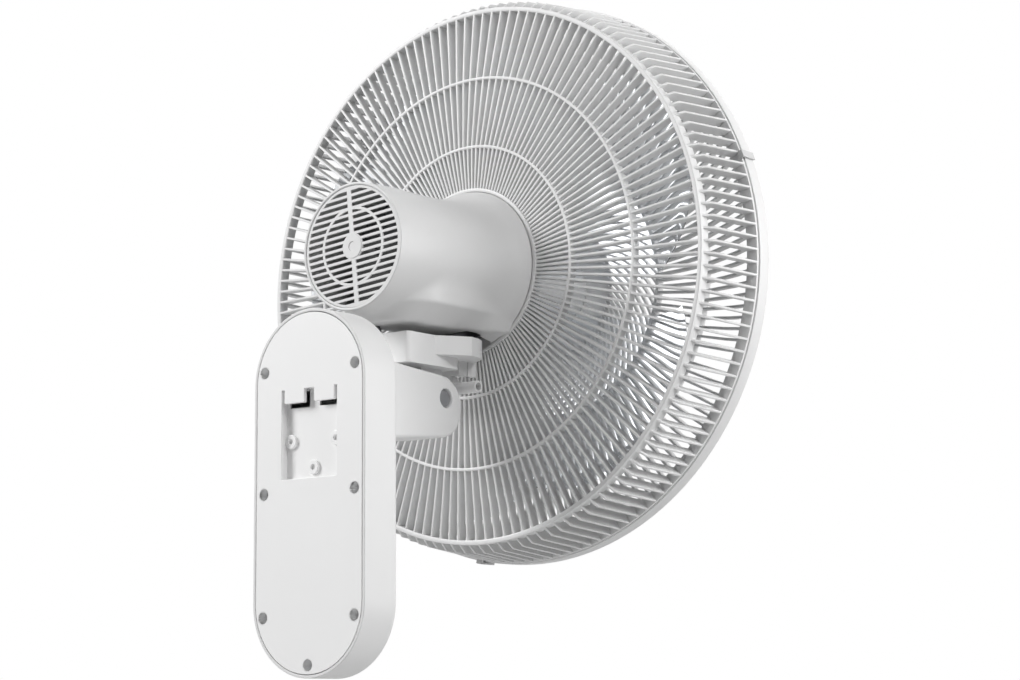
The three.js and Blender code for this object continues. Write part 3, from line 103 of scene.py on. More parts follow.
class BoxSizes(PropertyGroup):
    """Sizes of the wall box and its back cover."""

    wall: length("Wall", "Wall of the box", 2.2)
    edge: length("Front Edge", "Rounding of the front edge", 5)
    cover_gap: length("Seam", "Groove between the box and the back cover", 0.55)
    cover_thick: length("Cover", "Thickness of the back cover", 3)
    recess_half: length("Recess Half Width", "Half width of the hanging recess", 26)
    recess_low: length("Recess Low", "Lower edge of the recess", 9.4)
    recess_high: length("Recess High", "Upper edge of the recess", 72.3)
    recess_depth: length("Recess Depth", "Depth of the recess", 6.2)
    tab_inner: length("Tab Inner", "Inner edge of a hanging tab", 4.7)
    tab_outer: length("Tab Outer", "Outer edge of a hanging tab", 23.3)
    tab_drop: length("Tab Drop", "How far a tab reaches down", 9.7)
    keyway_drop: length("Keyway Drop", "How far the opening behind a tab reaches down", 12.4)
    peg_span: length("Peg Span", "Half distance between the two upper pegs", 21.1)
    peg_high: length("Peg High", "Height of the two upper pegs", 36.2)
    peg_mid: length("Peg Mid", "Height of the lower peg", 17.2)
    peg_radius: length("Peg Radius", "Radius of a peg", 5.1)
    peg_hole: length("Peg Hole", "Radius of a peg's hole", 2)
    peg_tall: length("Peg Tall", "Height of a peg above the recess floor", 2)
    screw_span: length("Screw Span", "Half distance between the two screw columns", 42.4)
    screw_pitch: length("Screw Pitch", "Distance between screw rows", 86.1)
    screw_low: length("Screw Low", "Bottom screw below the centre", 119.2)
    well_radius: length("Well Radius", "Radius of a screw well", 4.2)
    well_depth: length("Well Depth", "Depth of a screw well", 10)


class HeadSizes(PropertyGroup):
    """Sizes of the motor cover and its vent cap."""

    cover_wall: length("Cover Wall", "Wall of the motor cover", 2)
    bulge_half: length("Bulge Half Width", "Half width of the gearbox bulge at its wide edge", 42)
    bulge_wall: length("Bulge Wall", "Wide edge of the bulge below the fan axis", 39.2)
    bulge_drop: length("Bulge Drop", "Underside of the bulge below the fan axis", 51.6)
    bulge_centre: length("Bulge Centre", "Where the wide edge's round rear end is centred", -100)
    under_half: length("Underside Radius", "Radius of the underside's round rear end", 23)
    under_centre: length("Underside Centre", "Where the underside's rear end is centred", -92)
    bulge_round: length("Bulge Corner", "Rounding along the bulge's edges", 2)
    blend: length("Blend", "Softness of the line where bulge and barrel meet", 3.5)
    vent_inset: length("Vent Inset", "How far the vent face lies inside the rim", 0.7)
    vent_thick: length("Vent Thickness", "Thickness of the vent face", 1.2)
    vent_reach: length("Vent Reach", "Radius that the slots fill", 42.6)
    vent_pitch: length("Slot Pitch", "Distance between slots", 4.7)
    vent_slot: length("Slot Height", "Height of a slot", 2.7)
    vent_hub: length("Vent Hub", "Radius of the plain middle", 9.6)
    vent_bar: length("Vent Bar", "Width of the upright bar", 4)
    vent_ring: length("Vent Ring", "Radius of the ring across the slots", 28)
    vent_ring_width: length("Vent Ring Width", "Width of that ring", 2.1)
    vent_rows: IntProperty(name="Slot Rows", description="Rows of slots", default=18, min=2)
    vent_roll: angle("Vent Roll", "How far the slot pattern is turned about the axis", 5.5)


class GrilleSizes(PropertyGroup):
    """Sizes of the two rib grilles."""

    ribs: IntProperty(name="Ribs", description="Ribs in each grille", default=144, min=12)
    rib_thick: length("Rib Thickness", "Thickness of a rib", 1.8)
    rib_depth: length("Rib Depth", "Depth of a rear rib", 7.2)
    side_depth: length("Side Depth", "Depth of a rib in the side wall", 8)
    ring_width: length("Ring Width", "Width of the concentric rings", 2.3)
    hub_radius: length("Hub Radius", "Outer edge of the rear hub plate", 64.3)
    ring_one: length("Inner Ring", "Radius of the inner ring", 96.5)
    ring_two: length("Middle Ring", "Radius of the middle ring", 150.4)
    ring_three: length("Outer Ring", "Radius of the ring at the bend", 205)
    ring_three_depth: length("Outer Ring Depth", "Depth of the ring at the bend", 9)
    bend_radius: length("Bend Radius", "Radius at which the ribs bend", 212.6)
    bend_y: length("Bend Place", "Where along the axis the ribs bend", -194.4)
    rim_radius: length("Rim Radius", "Radius of the seam rim", 217.6)
    rim_y: length("Rim Place", "Where the ribs reach the rim", -241.3)
    front_rim: length("Front Rim Radius", "Radius of the front rim", 218.6)
    dome_out: length("Dome Outer Ring", "Radius of the front grille's outer ring", 156)
    dome_mid: length("Dome Middle Ring", "Radius of the front grille's middle ring", 104)
    dome_hub: length("Dome Hub", "Radius of the front grille's hub plate", 52)
    spiral: angle("Spiral", "Turn of the front grille's inner ribs", 38)
    slant: angle("Slant", "Turn of the front grille's outer ribs", 2.5)


class BladeSizes(PropertyGroup):
    """Sizes of the rotor's blades."""

    count: IntProperty(name="Blades", description="Number of blades", default=5, min=2)
    tip: length("Tip Radius", "Radius of the blade tips", 194)
    hub: length("Hub Radius", "Radius of the blade hub", 33)
    rear: length("Rear Edge", "Where the blades start along the axis", -195)
    depth: length("Depth", "Depth of a blade along the axis", 38)
    thick: length("Thickness", "Thickness of a blade", 1.8)
    span: angle("Span", "Angle that a blade covers at its widest", 62)


class FanColours(PropertyGroup):
    """Colours of the fan's finishes."""

    box: colour("Box", "Plastic of the wall box", (0.77, 0.77, 0.77))
    cover: colour("Back Cover", "Plastic of the back cover", (0.93, 0.93, 0.93))
    motor: colour("Motor Cover", "Plastic of the motor cover", (0.71, 0.71, 0.71))
    grille: colour("Grille", "Plastic of the grilles", (0.74, 0.74, 0.74))
    bracket: colour("Bracket", "Plastic of the bracket", (0.83, 0.83, 0.83))
    blade: colour("Blade", "Clear plastic of the blades", (0.92, 0.94, 0.965))
    steel: colour("Steel", "Screws and shafts", (0.55, 0.56, 0.58))
    dark_steel: colour("Dark Steel", "Crank and link", (0.1, 0.1, 0.11))
    alloy: colour("Alloy", "Cast end shields", (0.22, 0.22, 0.23))
    copper: colour("Copper", "Windings", (0.5, 0.17, 0.07))
    board: colour("Board", "Control board", (0.02, 0.12, 0.05))
    floor: colour("Floor", "Floor of the studio", (0.8, 0.8, 0.8))


class StudioSettings(PropertyGroup):
    """The camera and the lamps."""

    camera_place: FloatVectorProperty(
        name="Camera",
        description="Camera position",
        default=(-1.132547, 1.225116, -0.153980),
        size=3,
        subtype="TRANSLATION",
    )
    azimuth: angle("Azimuth", "Camera azimuth", 217.934)
    elevation: angle("Elevation", "Camera elevation", -8.847)
    roll: FloatProperty(name="Roll", description="Camera roll", default=-0.007, subtype="ANGLE")
    lens: FloatProperty(name="Lens", description="Focal length in millimetres", default=85.09)
    ambient: FloatProperty(name="Ambient", description="Strength of the room's light", default=0.05)
    key: power("Key", "Power of the key lamp", 96)
    side: power("Side", "Power of the side lamp", 15.5)
    rim: power("Rim", "Power of the rim lamp", 11)
    top: power("Top", "Power of the top lamp", 7.5)
    fill: power("Fill", "Power of the two weak lamps", 5)


# ---- Meshes from arrays -------------------------------------------------------------------------


def grid_quads(rows, columns, wrap_rows=False, wrap_columns=False):
    """Corner numbers of the quads between neighbouring points of a rows by columns grid."""
    i = np.arange(rows if wrap_rows else rows - 1)[:, None]
    j = np.arange(columns if wrap_columns else columns - 1)[None, :]
    a = i * columns + j
    b = i * columns + (j + 1) % columns
    c = ((i + 1) % rows) * columns + (j + 1) % columns
    d = ((i + 1) % rows) * columns + j
    return np.stack([a, b, c, d], axis=-1).reshape(-1, 4)


def surface(points, wrap_rows=False, wrap_columns=False):
    """A grid of points (rows, columns, 3) as flat points and quads."""
    points = np.asarray(points, float)
    rows, columns = points.shape[:2]
    return points.reshape(-1, 3), grid_quads(rows, columns, wrap_rows, wrap_columns)


def make_piece(name, parts, sharp=35):
    """One mesh object from (points, quads) parts, doubles merged and faces turned outwards."""
    starts = np.cumsum([0] + [len(points) for points, _ in parts])
    points = np.concatenate([p for p, _ in parts])
    quads = np.concatenate([q + start for (_, q), start in zip(parts, starts)])
    mesh = bpy.data.meshes.new(name)
    mesh.vertices.add(len(points))
    mesh.vertices.foreach_set("co", points.astype(np.float32).ravel())
    mesh.loops.add(quads.size)
    mesh.loops.foreach_set("vertex_index", quads.astype(np.int32).ravel())
    mesh.polygons.add(len(quads))
    mesh.polygons.foreach_set("loop_start", np.arange(len(quads), dtype=np.int32) * 4)
    mesh.update(calc_edges=True)
    tidy(mesh, sharp)
    return link(name, mesh)


def tidy(mesh, sharp):
    """Merges doubles, drops empty faces, turns faces outwards and shades smooth up to an angle."""
    shape = bmesh.new()
    shape.from_mesh(mesh)
    bmesh.ops.remove_doubles(shape, verts=shape.verts, dist=MERGE)
    bmesh.ops.dissolve_degenerate(shape, edges=shape.edges, dist=1e-7)
    bmesh.ops.recalc_face_normals(shape, faces=shape.faces)
    shape.to_mesh(mesh)
    shape.free()
    mesh.shade_smooth()
    mesh.set_sharp_from_angle(angle=math.radians(sharp))


def link(name, data):
    """A new object for a mesh, curve, lamp or camera, linked into the scene at the origin."""
    piece = bpy.data.objects.new(name, data)
    bpy.context.scene.collection.objects.link(piece)
    return piece


def rounded(corners, radii, steps=4):
    """A closed outline with each corner replaced by an arc that touches both of its sides."""
    corners = np.asarray(corners, float)
    outline = []
    for k, corner in enumerate(corners):
        radius = radii[k] if hasattr(radii, "__len__") else radii
        before = corners[k - 1] - corner
        after = corners[(k + 1) % len(corners)] - corner
        before /= np.linalg.norm(before)
        after /= np.linalg.norm(after)
        if radius <= 0:
            outline.append(corner[None])
            continue
        half = math.acos(float(np.clip(before @ after, -1, 1))) / 2
        middle = before + after
        centre = corner + middle / np.linalg.norm(middle) * radius / math.sin(half)
        start = corner + before * radius / math.tan(half) - centre
        end = corner + after * radius / math.tan(half) - centre
        share = np.linspace(0, 1, steps + 1)[:, None]
        turn = math.pi - 2 * half
        arc = (np.sin((1 - share) * turn) * start + np.sin(share * turn) * end) / math.sin(turn)
        outline.append(centre + arc)
    return np.concatenate(outline)


def circle(radius, sides):
    """Points (x, z) of a circle about the origin."""
    turn = np.linspace(0, 2 * math.pi, sides, endpoint=False)
    return np.stack([np.cos(turn), np.sin(turn)], axis=-1) * radius


def turned(profile, sides=128, height=None):
    """A closed outline of (radius, y) turned about the fan axis."""
    turn = np.arange(sides) * 2 * math.pi / sides
    profile = np.asarray(profile, float)
    x = profile[:, 0] * np.sin(turn)[:, None]
    z = profile[:, 0] * np.cos(turn)[:, None] + (AXIS_Z if height is None else height)
    y = np.broadcast_to(profile[:, 1], x.shape)
    return surface(np.stack([x, y, z], axis=-1), wrap_rows=True, wrap_columns=True)


def turned_at(profile, x, z, sides=32):
    """A closed outline of (radius, y) turned about a line along Y through x and z."""
    points, quads = turned(profile, sides, z)
    return points + np.array([x, 0, 0]), quads


def stadium(inset):
    """Points (x, z) of the box outline moved inwards: two half circles joined by straight sides."""
    half = (SHELL_HIGH.x - SHELL_LOW.x) / 2
    straight = (SHELL_HIGH.z - SHELL_LOW.z) / 2 - half
    turn = np.linspace(0, math.pi, 49)
    upper = np.stack([np.cos(turn), np.sin(turn)], axis=-1) * (half - inset) + [0, straight]
    return np.concatenate([upper, -upper])


def carried(rings):
    """A closed outline carried round a loop: one (x, z) ring and its y for each of its points."""
    levels = [np.stack([r[:, 0], np.full(len(r), y), r[:, 1]], axis=-1) for r, y in rings]
    return surface(np.array(levels), wrap_rows=True, wrap_columns=True)


def plate(name, loops, rear, front, edge):
    """A flat plate between two y planes from closed (x, z) outlines, the first one outside and the
    rest holes, with edges rounded by edge. The outlines are a filled flat curve, made a mesh."""
    curve = bpy.data.curves.new(name, "CURVE")
    curve.dimensions = "2D"
    curve.fill_mode = "BOTH"
    for loop in loops:
        loop = np.asarray(loop, float)
        spline = curve.splines.new("POLY")
        spline.points.add(len(loop) - 1)
        flat = np.zeros((len(loop), 4))
        flat[:, :2] = loop
        flat[:, 3] = 1
        spline.points.foreach_set("co", flat.ravel())
        spline.use_cyclic_u = True
    curve.extrude = abs(rear - front) / 2 - edge
    curve.bevel_depth = edge
    curve.bevel_resolution = 2
    curve.offset = -edge
    holder = link(name, curve)
    bpy.context.view_layer.update()
    evaluated = holder.evaluated_get(bpy.context.evaluated_depsgraph_get())
    mesh = bpy.data.meshes.new_from_object(evaluated)
    bpy.data.objects.remove(holder)
    bpy.data.curves.remove(curve)
    middle = (rear + front) / 2
    mesh.transform(Matrix(((1, 0, 0, 0), (0, 0, -1, middle), (0, 1, 0, 0), (0, 0, 0, 1))))
    tidy(mesh, FLAT_SHARP)
    return link(name, mesh)


def joined(name, pieces):
    """Several objects' meshes as one piece."""
    mesh = bpy.data.meshes.new(name)
    shape = bmesh.new()
    for piece in pieces:
        shape.from_mesh(piece.data)
    shape.to_mesh(mesh)
    shape.free()
    for piece in pieces:
        bpy.data.objects.remove(piece)
    mesh.shade_smooth()
    mesh.set_sharp_from_angle(angle=math.radians(FLAT_SHARP))
    return link(name, mesh)


def dressed_copy(node, round_edge, segments=2):
    """A copy of a CAD node with its doubles merged, its flat faces whole and its edges rounded."""
    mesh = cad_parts[node].data.copy()
    if mesh.has_custom_normals:
        mesh.attributes.remove(mesh.attributes["custom_normal"])
    mesh.materials.clear()
    shape = bmesh.new()
    shape.from_mesh(mesh)
    bmesh.ops.remove_doubles(shape, verts=shape.verts, dist=MERGE)
    bmesh.ops.dissolve_limit(
        shape, angle_limit=math.radians(1), verts=shape.verts, edges=shape.edges
    )
    shape.to_mesh(mesh)
    shape.free()
    mesh.shade_smooth()
    mesh.set_sharp_from_angle(angle=math.radians(COPY_SHARP))
    piece = link(node + "_finished", mesh)
    if round_edge > 0:
        soften(piece, round_edge, segments, COPY_SHARP, harden=True)
    return piece


def soften(piece, width, segments, sharp, harden=False):
    """Rounds a piece's edges sharper than an angle. Hardened, its flat faces shade flat."""
    bevel = piece.modifiers.new("Rounded edges", "BEVEL")
    bevel.width = width
    bevel.segments = segments
    bevel.limit_method = "ANGLE"
    bevel.angle_limit = math.radians(sharp)
    bevel.harden_normals = harden


def place(piece, node, body, material):
    """Lets a piece stand for a CAD node on its body, with its finish."""
    piece.data.materials.clear()
    piece.data.materials.append(material)
    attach(piece, body)
    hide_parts(node)


def dress(node, body, material, round_edge, segments=2):
    """Lets a rounded copy of a CAD node stand for it, with its finish."""
    place(dressed_copy(node, round_edge, segments), node, body, material)


def shade(tint, factor):
    """A colour made darker or lighter by a factor."""
    return [c * factor for c in tint]


# ---- Finishes -----------------------------------------------------------------------------------


def add_node(tree, kind, values=None, **settings):
    """A new shader node with its settings and its input values."""
    node = tree.nodes.new("ShaderNode" + kind)
    for label, value in settings.items():
        setattr(node, label, value)
    for label, value in (values or {}).items():
        node.inputs[label].default_value = value
    return node


def arithmetic(tree, operation, first, second):
    """A sum, difference or maximum of two values, each a socket or a number."""
    node = add_node(tree, "Math", operation=operation)
    for value, socket in zip((first, second), node.inputs):
        if isinstance(value, float):
            socket.default_value = value
        else:
            tree.links.new(value, socket)
    return node.outputs[0]


def new_group(name, inputs, outputs):
    """An empty shader node group with named sockets, and its input and output nodes."""
    group = bpy.data.node_groups.new(name, "ShaderNodeTree")
    for label, kind, default in inputs:
        socket = group.interface.new_socket(label, in_out="INPUT", socket_type=kind)
        socket.default_value = default
    for label, kind in outputs:
        group.interface.new_socket(label, in_out="OUTPUT", socket_type=kind)
    return group, group.nodes.new("NodeGroupInput"), group.nodes.new("NodeGroupOutput")


def noise(tree, vector, scale, detail=3.0, roughness=0.5):
    """A noise texture on the given coordinates."""
    values = {"Scale": scale, "Detail": detail, "Roughness": roughness}
    node = add_node(tree, "TexNoise", values)
    tree.links.new(vector, node.inputs["Vector"])
    return node.outputs["Fac"]


def spread(tree, value, low, high):
    """Maps the middle half of a noise (0.25 to 0.75) to the range from low to high."""
    values = {"From Min": 0.25, "From Max": 0.75, "To Min": low, "To Max": high}
    node = add_node(tree, "MapRange", values)
    tree.links.new(value, node.inputs["Value"])
    return node.outputs["Result"]


def scaled_colour(tree, colour_socket, factor):
    """A colour multiplied by a grey factor."""
    node = add_node(tree, "VectorMath", operation="SCALE")
    tree.links.new(colour_socket, node.inputs[0])
    tree.links.new(factor, node.inputs["Scale"])
    return node.outputs["Vector"]


def moulded_group():
    """Satin moulded plastic: faint mottling, a fine spark-eroded grain and uneven gloss."""
    name = "Moulded Grain"
    if name in bpy.data.node_groups:
        return bpy.data.node_groups[name]
    inputs = [
        ("Colour", "NodeSocketColor", (0.8, 0.8, 0.8, 1)),
        ("Roughness", "NodeSocketFloat", 0.45),
        ("Grain", "NodeSocketFloat", 1400.0),
        ("Mottle", "NodeSocketFloat", 0.015),
    ]
    outputs = [
        ("Colour", "NodeSocketColor"),
        ("Roughness", "NodeSocketFloat"),
        ("Height", "NodeSocketFloat"),
    ]
    group, start, end = new_group(name, inputs, outputs)
    here = add_node(group, "TexCoord").outputs["Object"]
    cloud = noise(group, here, 14.0)
    low = arithmetic(group, "SUBTRACT", 1.0, start.outputs["Mottle"])
    blend = add_node(group, "MapRange", {"From Min": 0.3, "From Max": 0.7, "To Max": 1.0})
    group.links.new(cloud, blend.inputs["Value"])
    group.links.new(low, blend.inputs["To Min"])
    tinted = scaled_colour(group, start.outputs["Colour"], blend.outputs["Result"])
    group.links.new(tinted, end.inputs["Colour"])
    uneven = spread(group, noise(group, here, 60.0), -0.04, 0.04)
    gloss = arithmetic(group, "ADD", start.outputs["Roughness"], uneven)
    group.links.new(gloss, end.inputs["Roughness"])
    grain = add_node(group, "TexNoise", {"Detail": 2.0})
    group.links.new(here, grain.inputs["Vector"])
    group.links.new(start.outputs["Grain"], grain.inputs["Scale"])
    group.links.new(grain.outputs["Fac"], end.inputs["Height"])
    return group


def new_material(name):
    """A material with an empty Principled shader, and its tree and shader."""
    material = bpy.data.materials.new(name)
    material.use_nodes = True
    tree = material.node_tree
    return material, tree, tree.nodes["Principled BSDF"]


def bump(tree, shader, height, distance, strength=1.0):
    """Feeds a height to the shader's normal."""
    node = add_node(tree, "Bump", {"Strength": strength, "Distance": distance})
    tree.links.new(height, node.inputs["Height"])
    tree.links.new(node.outputs["Normal"], shader.inputs["Normal"])


def grained(tree, shader, tint, roughness, grain, mottle):
    """Feeds the moulded grain's colour and gloss to the shader, and returns its height."""
    values = {"Colour": (*tint, 1), "Roughness": roughness, "Grain": grain, "Mottle": mottle}
    group = add_node(tree, "Group", values, node_tree=moulded_group())
    tree.links.new(group.outputs["Colour"], shader.inputs["Base Color"])
    tree.links.new(group.outputs["Roughness"], shader.inputs["Roughness"])
    return group.outputs["Height"]


def plastic(name, tint, roughness=0.42, grain=1400.0):
    """Moulded plastic of one colour."""
    if name in bpy.data.materials:
        return bpy.data.materials[name]
    material, tree, shader = new_material(name)
    bump(tree, shader, grained(tree, shader, tint, roughness, grain, 0.015), FINE_GRAIN)
    shader.inputs["IOR"].default_value = 1.48
    return material


def clear_plastic(tint):
    """Clear blade plastic: see-through and faintly blue, glossy, with a slight waviness. Its low
    IOR keeps what lies behind the thin blades nearly straight."""
    material, tree, shader = new_material("Clear Blade Plastic")
    bump(tree, shader, grained(tree, shader, tint, 0.08, 90.0, 0.02), 0.2 * MM, 0.3)
    shader.inputs["Transmission Weight"].default_value = 1.0
    shader.inputs["IOR"].default_value = 1.12
    return material


def mapped(tree, label, value):
    """Object coordinates, moved by a Location or stretched by a Scale."""
    where = add_node(tree, "TexCoord")
    mapping = add_node(tree, "Mapping", {label: value})
    tree.links.new(where.outputs["Object"], mapping.inputs["Vector"])
    return mapping.outputs["Vector"]


def two_tones(tree, shader, factor, tint, darker):
    """Lets the base colour run from a darker shade of a tint to the tint itself."""
    values = {"A": (*shade(tint, darker), 1), "B": (*tint, 1)}
    mix = add_node(tree, "Mix", values, data_type="RGBA")
    tree.links.new(factor, mix.inputs["Factor"])
    tree.links.new(mix.outputs["Result"], shader.inputs["Base Color"])


def metal(name, tint, roughness, scale, stretch=(1, 1, 1), depth=FINE_GRAIN):
    """Bare metal with streaks or grain stretched along the axes."""
    material, tree, shader = new_material(name)
    streak = noise(tree, mapped(tree, "Scale", stretch), scale, 4.0, 0.6)
    two_tones(tree, shader, streak, tint, darker=0.82)
    gloss = spread(tree, streak, roughness - 0.07, roughness + 0.07)
    tree.links.new(gloss, shader.inputs["Roughness"])
    bump(tree, shader, streak, depth)
    shader.inputs["Metallic"].default_value = 1.0
    return material


def banded(name, tint, roughness, metallic, bands, kind, depth):
    """Fine bands along the fan axis, for stacked laminations, or rings round it, for wound wire."""
    material, tree, shader = new_material(name)
    values = {"Scale": bands, "Distortion": 0.4}
    wave = add_node(tree, "TexWave", values, wave_type=kind)
    setattr(wave, kind.lower() + "_direction", "Y")
    tree.links.new(mapped(tree, "Location", (0, 0, -AXIS_Z)), wave.inputs["Vector"])
    two_tones(tree, shader, wave.outputs["Fac"], tint, darker=0.45)
    bump(tree, shader, wave.outputs["Fac"], depth)
    shader.inputs["Roughness"].default_value = roughness
    shader.inputs["Metallic"].default_value = metallic
    return material


def board_finish(tint):
    """Green lacquered board with darker traces from a cell pattern."""
    material, tree, shader = new_material("Board Lacquer")
    where = add_node(tree, "TexCoord")
    colours = {"Color1": (*tint, 1), "Color2": (*shade(tint, 1.35), 1)}
    values = {**colours, "Mortar": (*shade(tint, 0.55), 1), "Scale": 160.0}
    cells = add_node(tree, "TexBrick", values)
    tree.links.new(where.outputs["Object"], cells.inputs["Vector"])
    tree.links.new(cells.outputs["Color"], shader.inputs["Base Color"])
    shader.inputs["Roughness"].default_value = 0.35
    return material


# ---- Wall box -----------------------------------------------------------------------------------


def shell_profile(sizes):
    """The box wall as a closed (inset, y) outline: a rim with small roundings at the back, a
    quarter circle at the front and the same inside."""
    depth = SHELL_LOW.y
    wall, edge, lip = sizes.wall, sizes.edge, 0.5 * MM
    turn = np.linspace(0, math.pi / 2, 9)
    outer = np.stack([edge - edge * np.cos(turn), depth + edge - edge * np.sin(turn)], axis=-1)
    inner_edge, back = edge - wall, turn[::-1]
    inner = np.stack(
        [edge - inner_edge * np.cos(back), depth + edge - inner_edge * np.sin(back)], axis=-1
    )
    rim = rounded([[0, -2 * lip], [0, 0], [wall, 0], [wall, -2 * lip]], [0, lip, lip, 0], 3)
    hold = np.array([[0, -3 * lip], [0, depth + edge + lip]])
    return np.concatenate([rim[::-1][-1:], hold, outer, inner, rim[::-1][:-1]])


def front_holes():
    """Outlines (x, z) of the button holes in the box's front face."""
    holes = []
    flange, play = 2 * MM, 0.4 * MM
    for k in range(1, 5):
        low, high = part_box(f"push_button_{k}")
        half = (high.x - low.x) / 2 - flange + play
        up = (high.z - low.z) / 2 - flange + play
        z = (low.z + high.z) / 2
        corners = [[half, z + up], [-half, z + up], [-half, z - up], [half, z - up]]
        holes.append(rounded(corners, 0.8 * MM, 3))
    return holes


class FAN_OT_housing(Operator):
    """Builds the box: a wall profile carried round a stadium and a front face with button holes."""

    bl_idname = "fan.housing"
    bl_label = "Box"

    def execute(self, context):
        sizes = context.scene.fan_box
        profile = shell_profile(sizes)
        wall = make_piece("box_wall", [carried([(stadium(inset), y) for inset, y in profile])])
        front = SHELL_LOW.y
        loops = [stadium(sizes.edge - 0.4 * MM), *front_holes()]
        face = plate("box_face", loops, front + sizes.wall, front, 0.35 * MM)
        piece = joined("box_shell", [wall, face])
        tint = context.scene.fan_colours.box
        place(piece, "housing_shell", "wall_box", plastic("Box Plastic", tint))
        return {"FINISHED"}


def screw_places(sizes):
    """Centres (x, z) of the seven screws of the back cover."""
    rows = [sizes.screw_pitch, 0, -sizes.screw_pitch]
    places = [(side * sizes.screw_span, z) for z in rows for side in (1, -1)]
    return [*places, (0, -sizes.screw_low)]


def recess_outline(sizes):
    """Outline (x, z) of the recess opening, with the two hanging tabs left standing at its top."""
    half, low, high = sizes.recess_half, sizes.recess_low, sizes.recess_high
    tab = high - sizes.tab_drop
    a, b = sizes.tab_inner, sizes.tab_outer
    corners = [[half, low], [half, high], [b, high], [b, tab], [a, tab], [a, high]]
    corners += [[-a, high], [-a, tab], [-b, tab], [-b, high], [-half, high], [-half, low]]
    radii = [1.0, 0.2, 0.2, 0.8, 0.8, 0.2, 0.2, 0.8, 0.8, 0.2, 0.2, 1.0]
    return rounded(corners, [r * MM for r in radii], 3)


def recess_floor(sizes):
    """The recess floor with an opening behind each tab."""
    under = 1 * MM
    half = sizes.recess_half + under
    low, high = sizes.recess_low - under, sizes.recess_high + under
    gap, top = sizes.recess_high - sizes.keyway_drop, sizes.recess_high - 1 * MM
    loops = [[[half, low], [half, high], [-half, high], [-half, low]]]
    for side in (-1, 1):
        a, b = side * sizes.tab_inner, side * sizes.tab_outer
        loops.append(rounded([[a, gap], [b, gap], [b, top], [a, top]], 0.6 * MM, 3))
    rear = -sizes.recess_depth
    return plate("recess_floor", loops, rear, rear - RECESS_THICK, 0.3 * MM)


def recess_wall(sizes):
    """The four walls of the recess: a closed outline carried round its rectangle. They start behind
    the cover's face and stand a hair outside its opening, so that no two faces coincide."""
    half, low, high = sizes.recess_half, sizes.recess_low, sizes.recess_high
    corners = [[half, low], [half, high], [-half, high], [-half, low]]
    centre = np.array([0, (low + high) / 2])
    inner = rounded(corners, 1 * MM, 4)
    inner = centre + (inner - centre) * (1 + 0.1 * MM / half)
    grow = [1 + RECESS_THICK / half, 1 + 2 * RECESS_THICK / (high - low)]
    wide = centre + (inner - centre) * grow
    top, floor = 0.5 * MM - sizes.cover_thick, -sizes.recess_depth - RECESS_THICK
    rings = [(inner, top), (inner, floor), (wide, floor), (wide, top)]
    return make_piece("recess_wall", [carried(rings)])


def peg(sizes, x, z):
    """A short post with a rounded top. Its blind hole runs on into a stub behind the floor."""
    foot = -sizes.recess_depth - 0.5 * MM
    top = -sizes.recess_depth + sizes.peg_tall
    r, hole = sizes.peg_radius, sizes.peg_hole
    end, wide = foot - 4 * MM, hole + 1 * MM
    corners = [[0, end - 1 * MM], [wide, end - 1 * MM], [wide, foot], [r, foot]]
    corners += [[r, top], [hole, top], [hole, end], [0, end]]
    radii = [0, 0, 0, 0, 0.5 * MM, 0.3 * MM, 0, 0]
    return turned_at(rounded(corners, radii, 3), x, z, 40)


def well(sizes, x, z):
    """A screw well: a cup with a small rounding at its mouth and a hole in its floor."""
    r, floor = sizes.well_radius, -sizes.well_depth
    outer, hole, under = r + 1.5 * MM, 1.8 * MM, floor - 2 * MM
    corners = [[r, 0], [r, floor], [hole, floor], [hole, under], [outer, under]]
    corners += [[outer, -1.5 * MM], [r + 0.4 * MM, 0]]
    return turned_at(np.array(corners), x, z, 36)


class FAN_OT_back_cover(Operator):
    """Builds the back cover: a stadium plate with hanging recess, pegs, tabs and screw wells."""

    bl_idname = "fan.back_cover"
    bl_label = "Back Cover"

    def execute(self, context):
        sizes = context.scene.fan_box
        spots = screw_places(sizes)
        holes = [circle(sizes.well_radius, 36) + spot for spot in spots]
        loops = [stadium(sizes.wall + sizes.cover_gap), recess_outline(sizes), *holes]
        face = plate("cover_face", loops, 0, -sizes.cover_thick, 0.3 * MM)
        span, high = sizes.peg_span, sizes.peg_high
        posts = [peg(sizes, *spot) for spot in [(span, high), (-span, high), (0, sizes.peg_mid)]]
        small = make_piece("cover_posts", posts + [well(sizes, *spot) for spot in spots])
        piece = joined("back_cover_shell", [face, recess_floor(sizes), recess_wall(sizes), small])
        tint = context.scene.fan_colours.cover
        place(piece, "back_cover", "wall_box", plastic("Cover Plastic", tint))
        return {"FINISHED"}


class FAN_OT_screws(Operator):
    """Finishes the screws, the bolt, the nut and the link's pin."""

    bl_idname = "fan.screws"
    bl_label = "Screws"

    def execute(self, context):
        tints = context.scene.fan_colours
        steel = metal("Screw Steel", tints.steel, 0.34, 700.0, (1, 1, 6))
        painted = plastic("Painted Screw", shade(tints.motor, 0.8))
        for k in range(1, 8):
            dress(f"back_cover_screw_{k}", "wall_box", steel, 0.4 * MM)
        dress("vent_cap_screw", "head", painted, 0.4 * MM)
        dress("pivot_bolt", "wall_box", steel, 0.5 * MM)
        dress("pivot_nut", "wall_box", steel, 0.4 * MM)
        dress("link_pin", "bracket", steel, 0.2 * MM)
        return {"FINISHED"}


class FAN_OT_buttons(Operator):
    """Finishes the push buttons and the control board behind them."""

    bl_idname = "fan.buttons"
    bl_label = "Buttons and Board"

    def execute(self, context):
        tints = context.scene.fan_colours
        finish = plastic("Button Plastic", shade(tints.box, 0.96), 0.36)
        for k in range(1, 5):
            dress(f"push_button_{k}", f"button_{k}", finish, 0.8 * MM, 3)
        dress("control_board", "wall_box", board_finish(tints.board), 0)
        return {"FINISHED"}


# ---- Neck and bracket ---------------------------------------------------------------------------


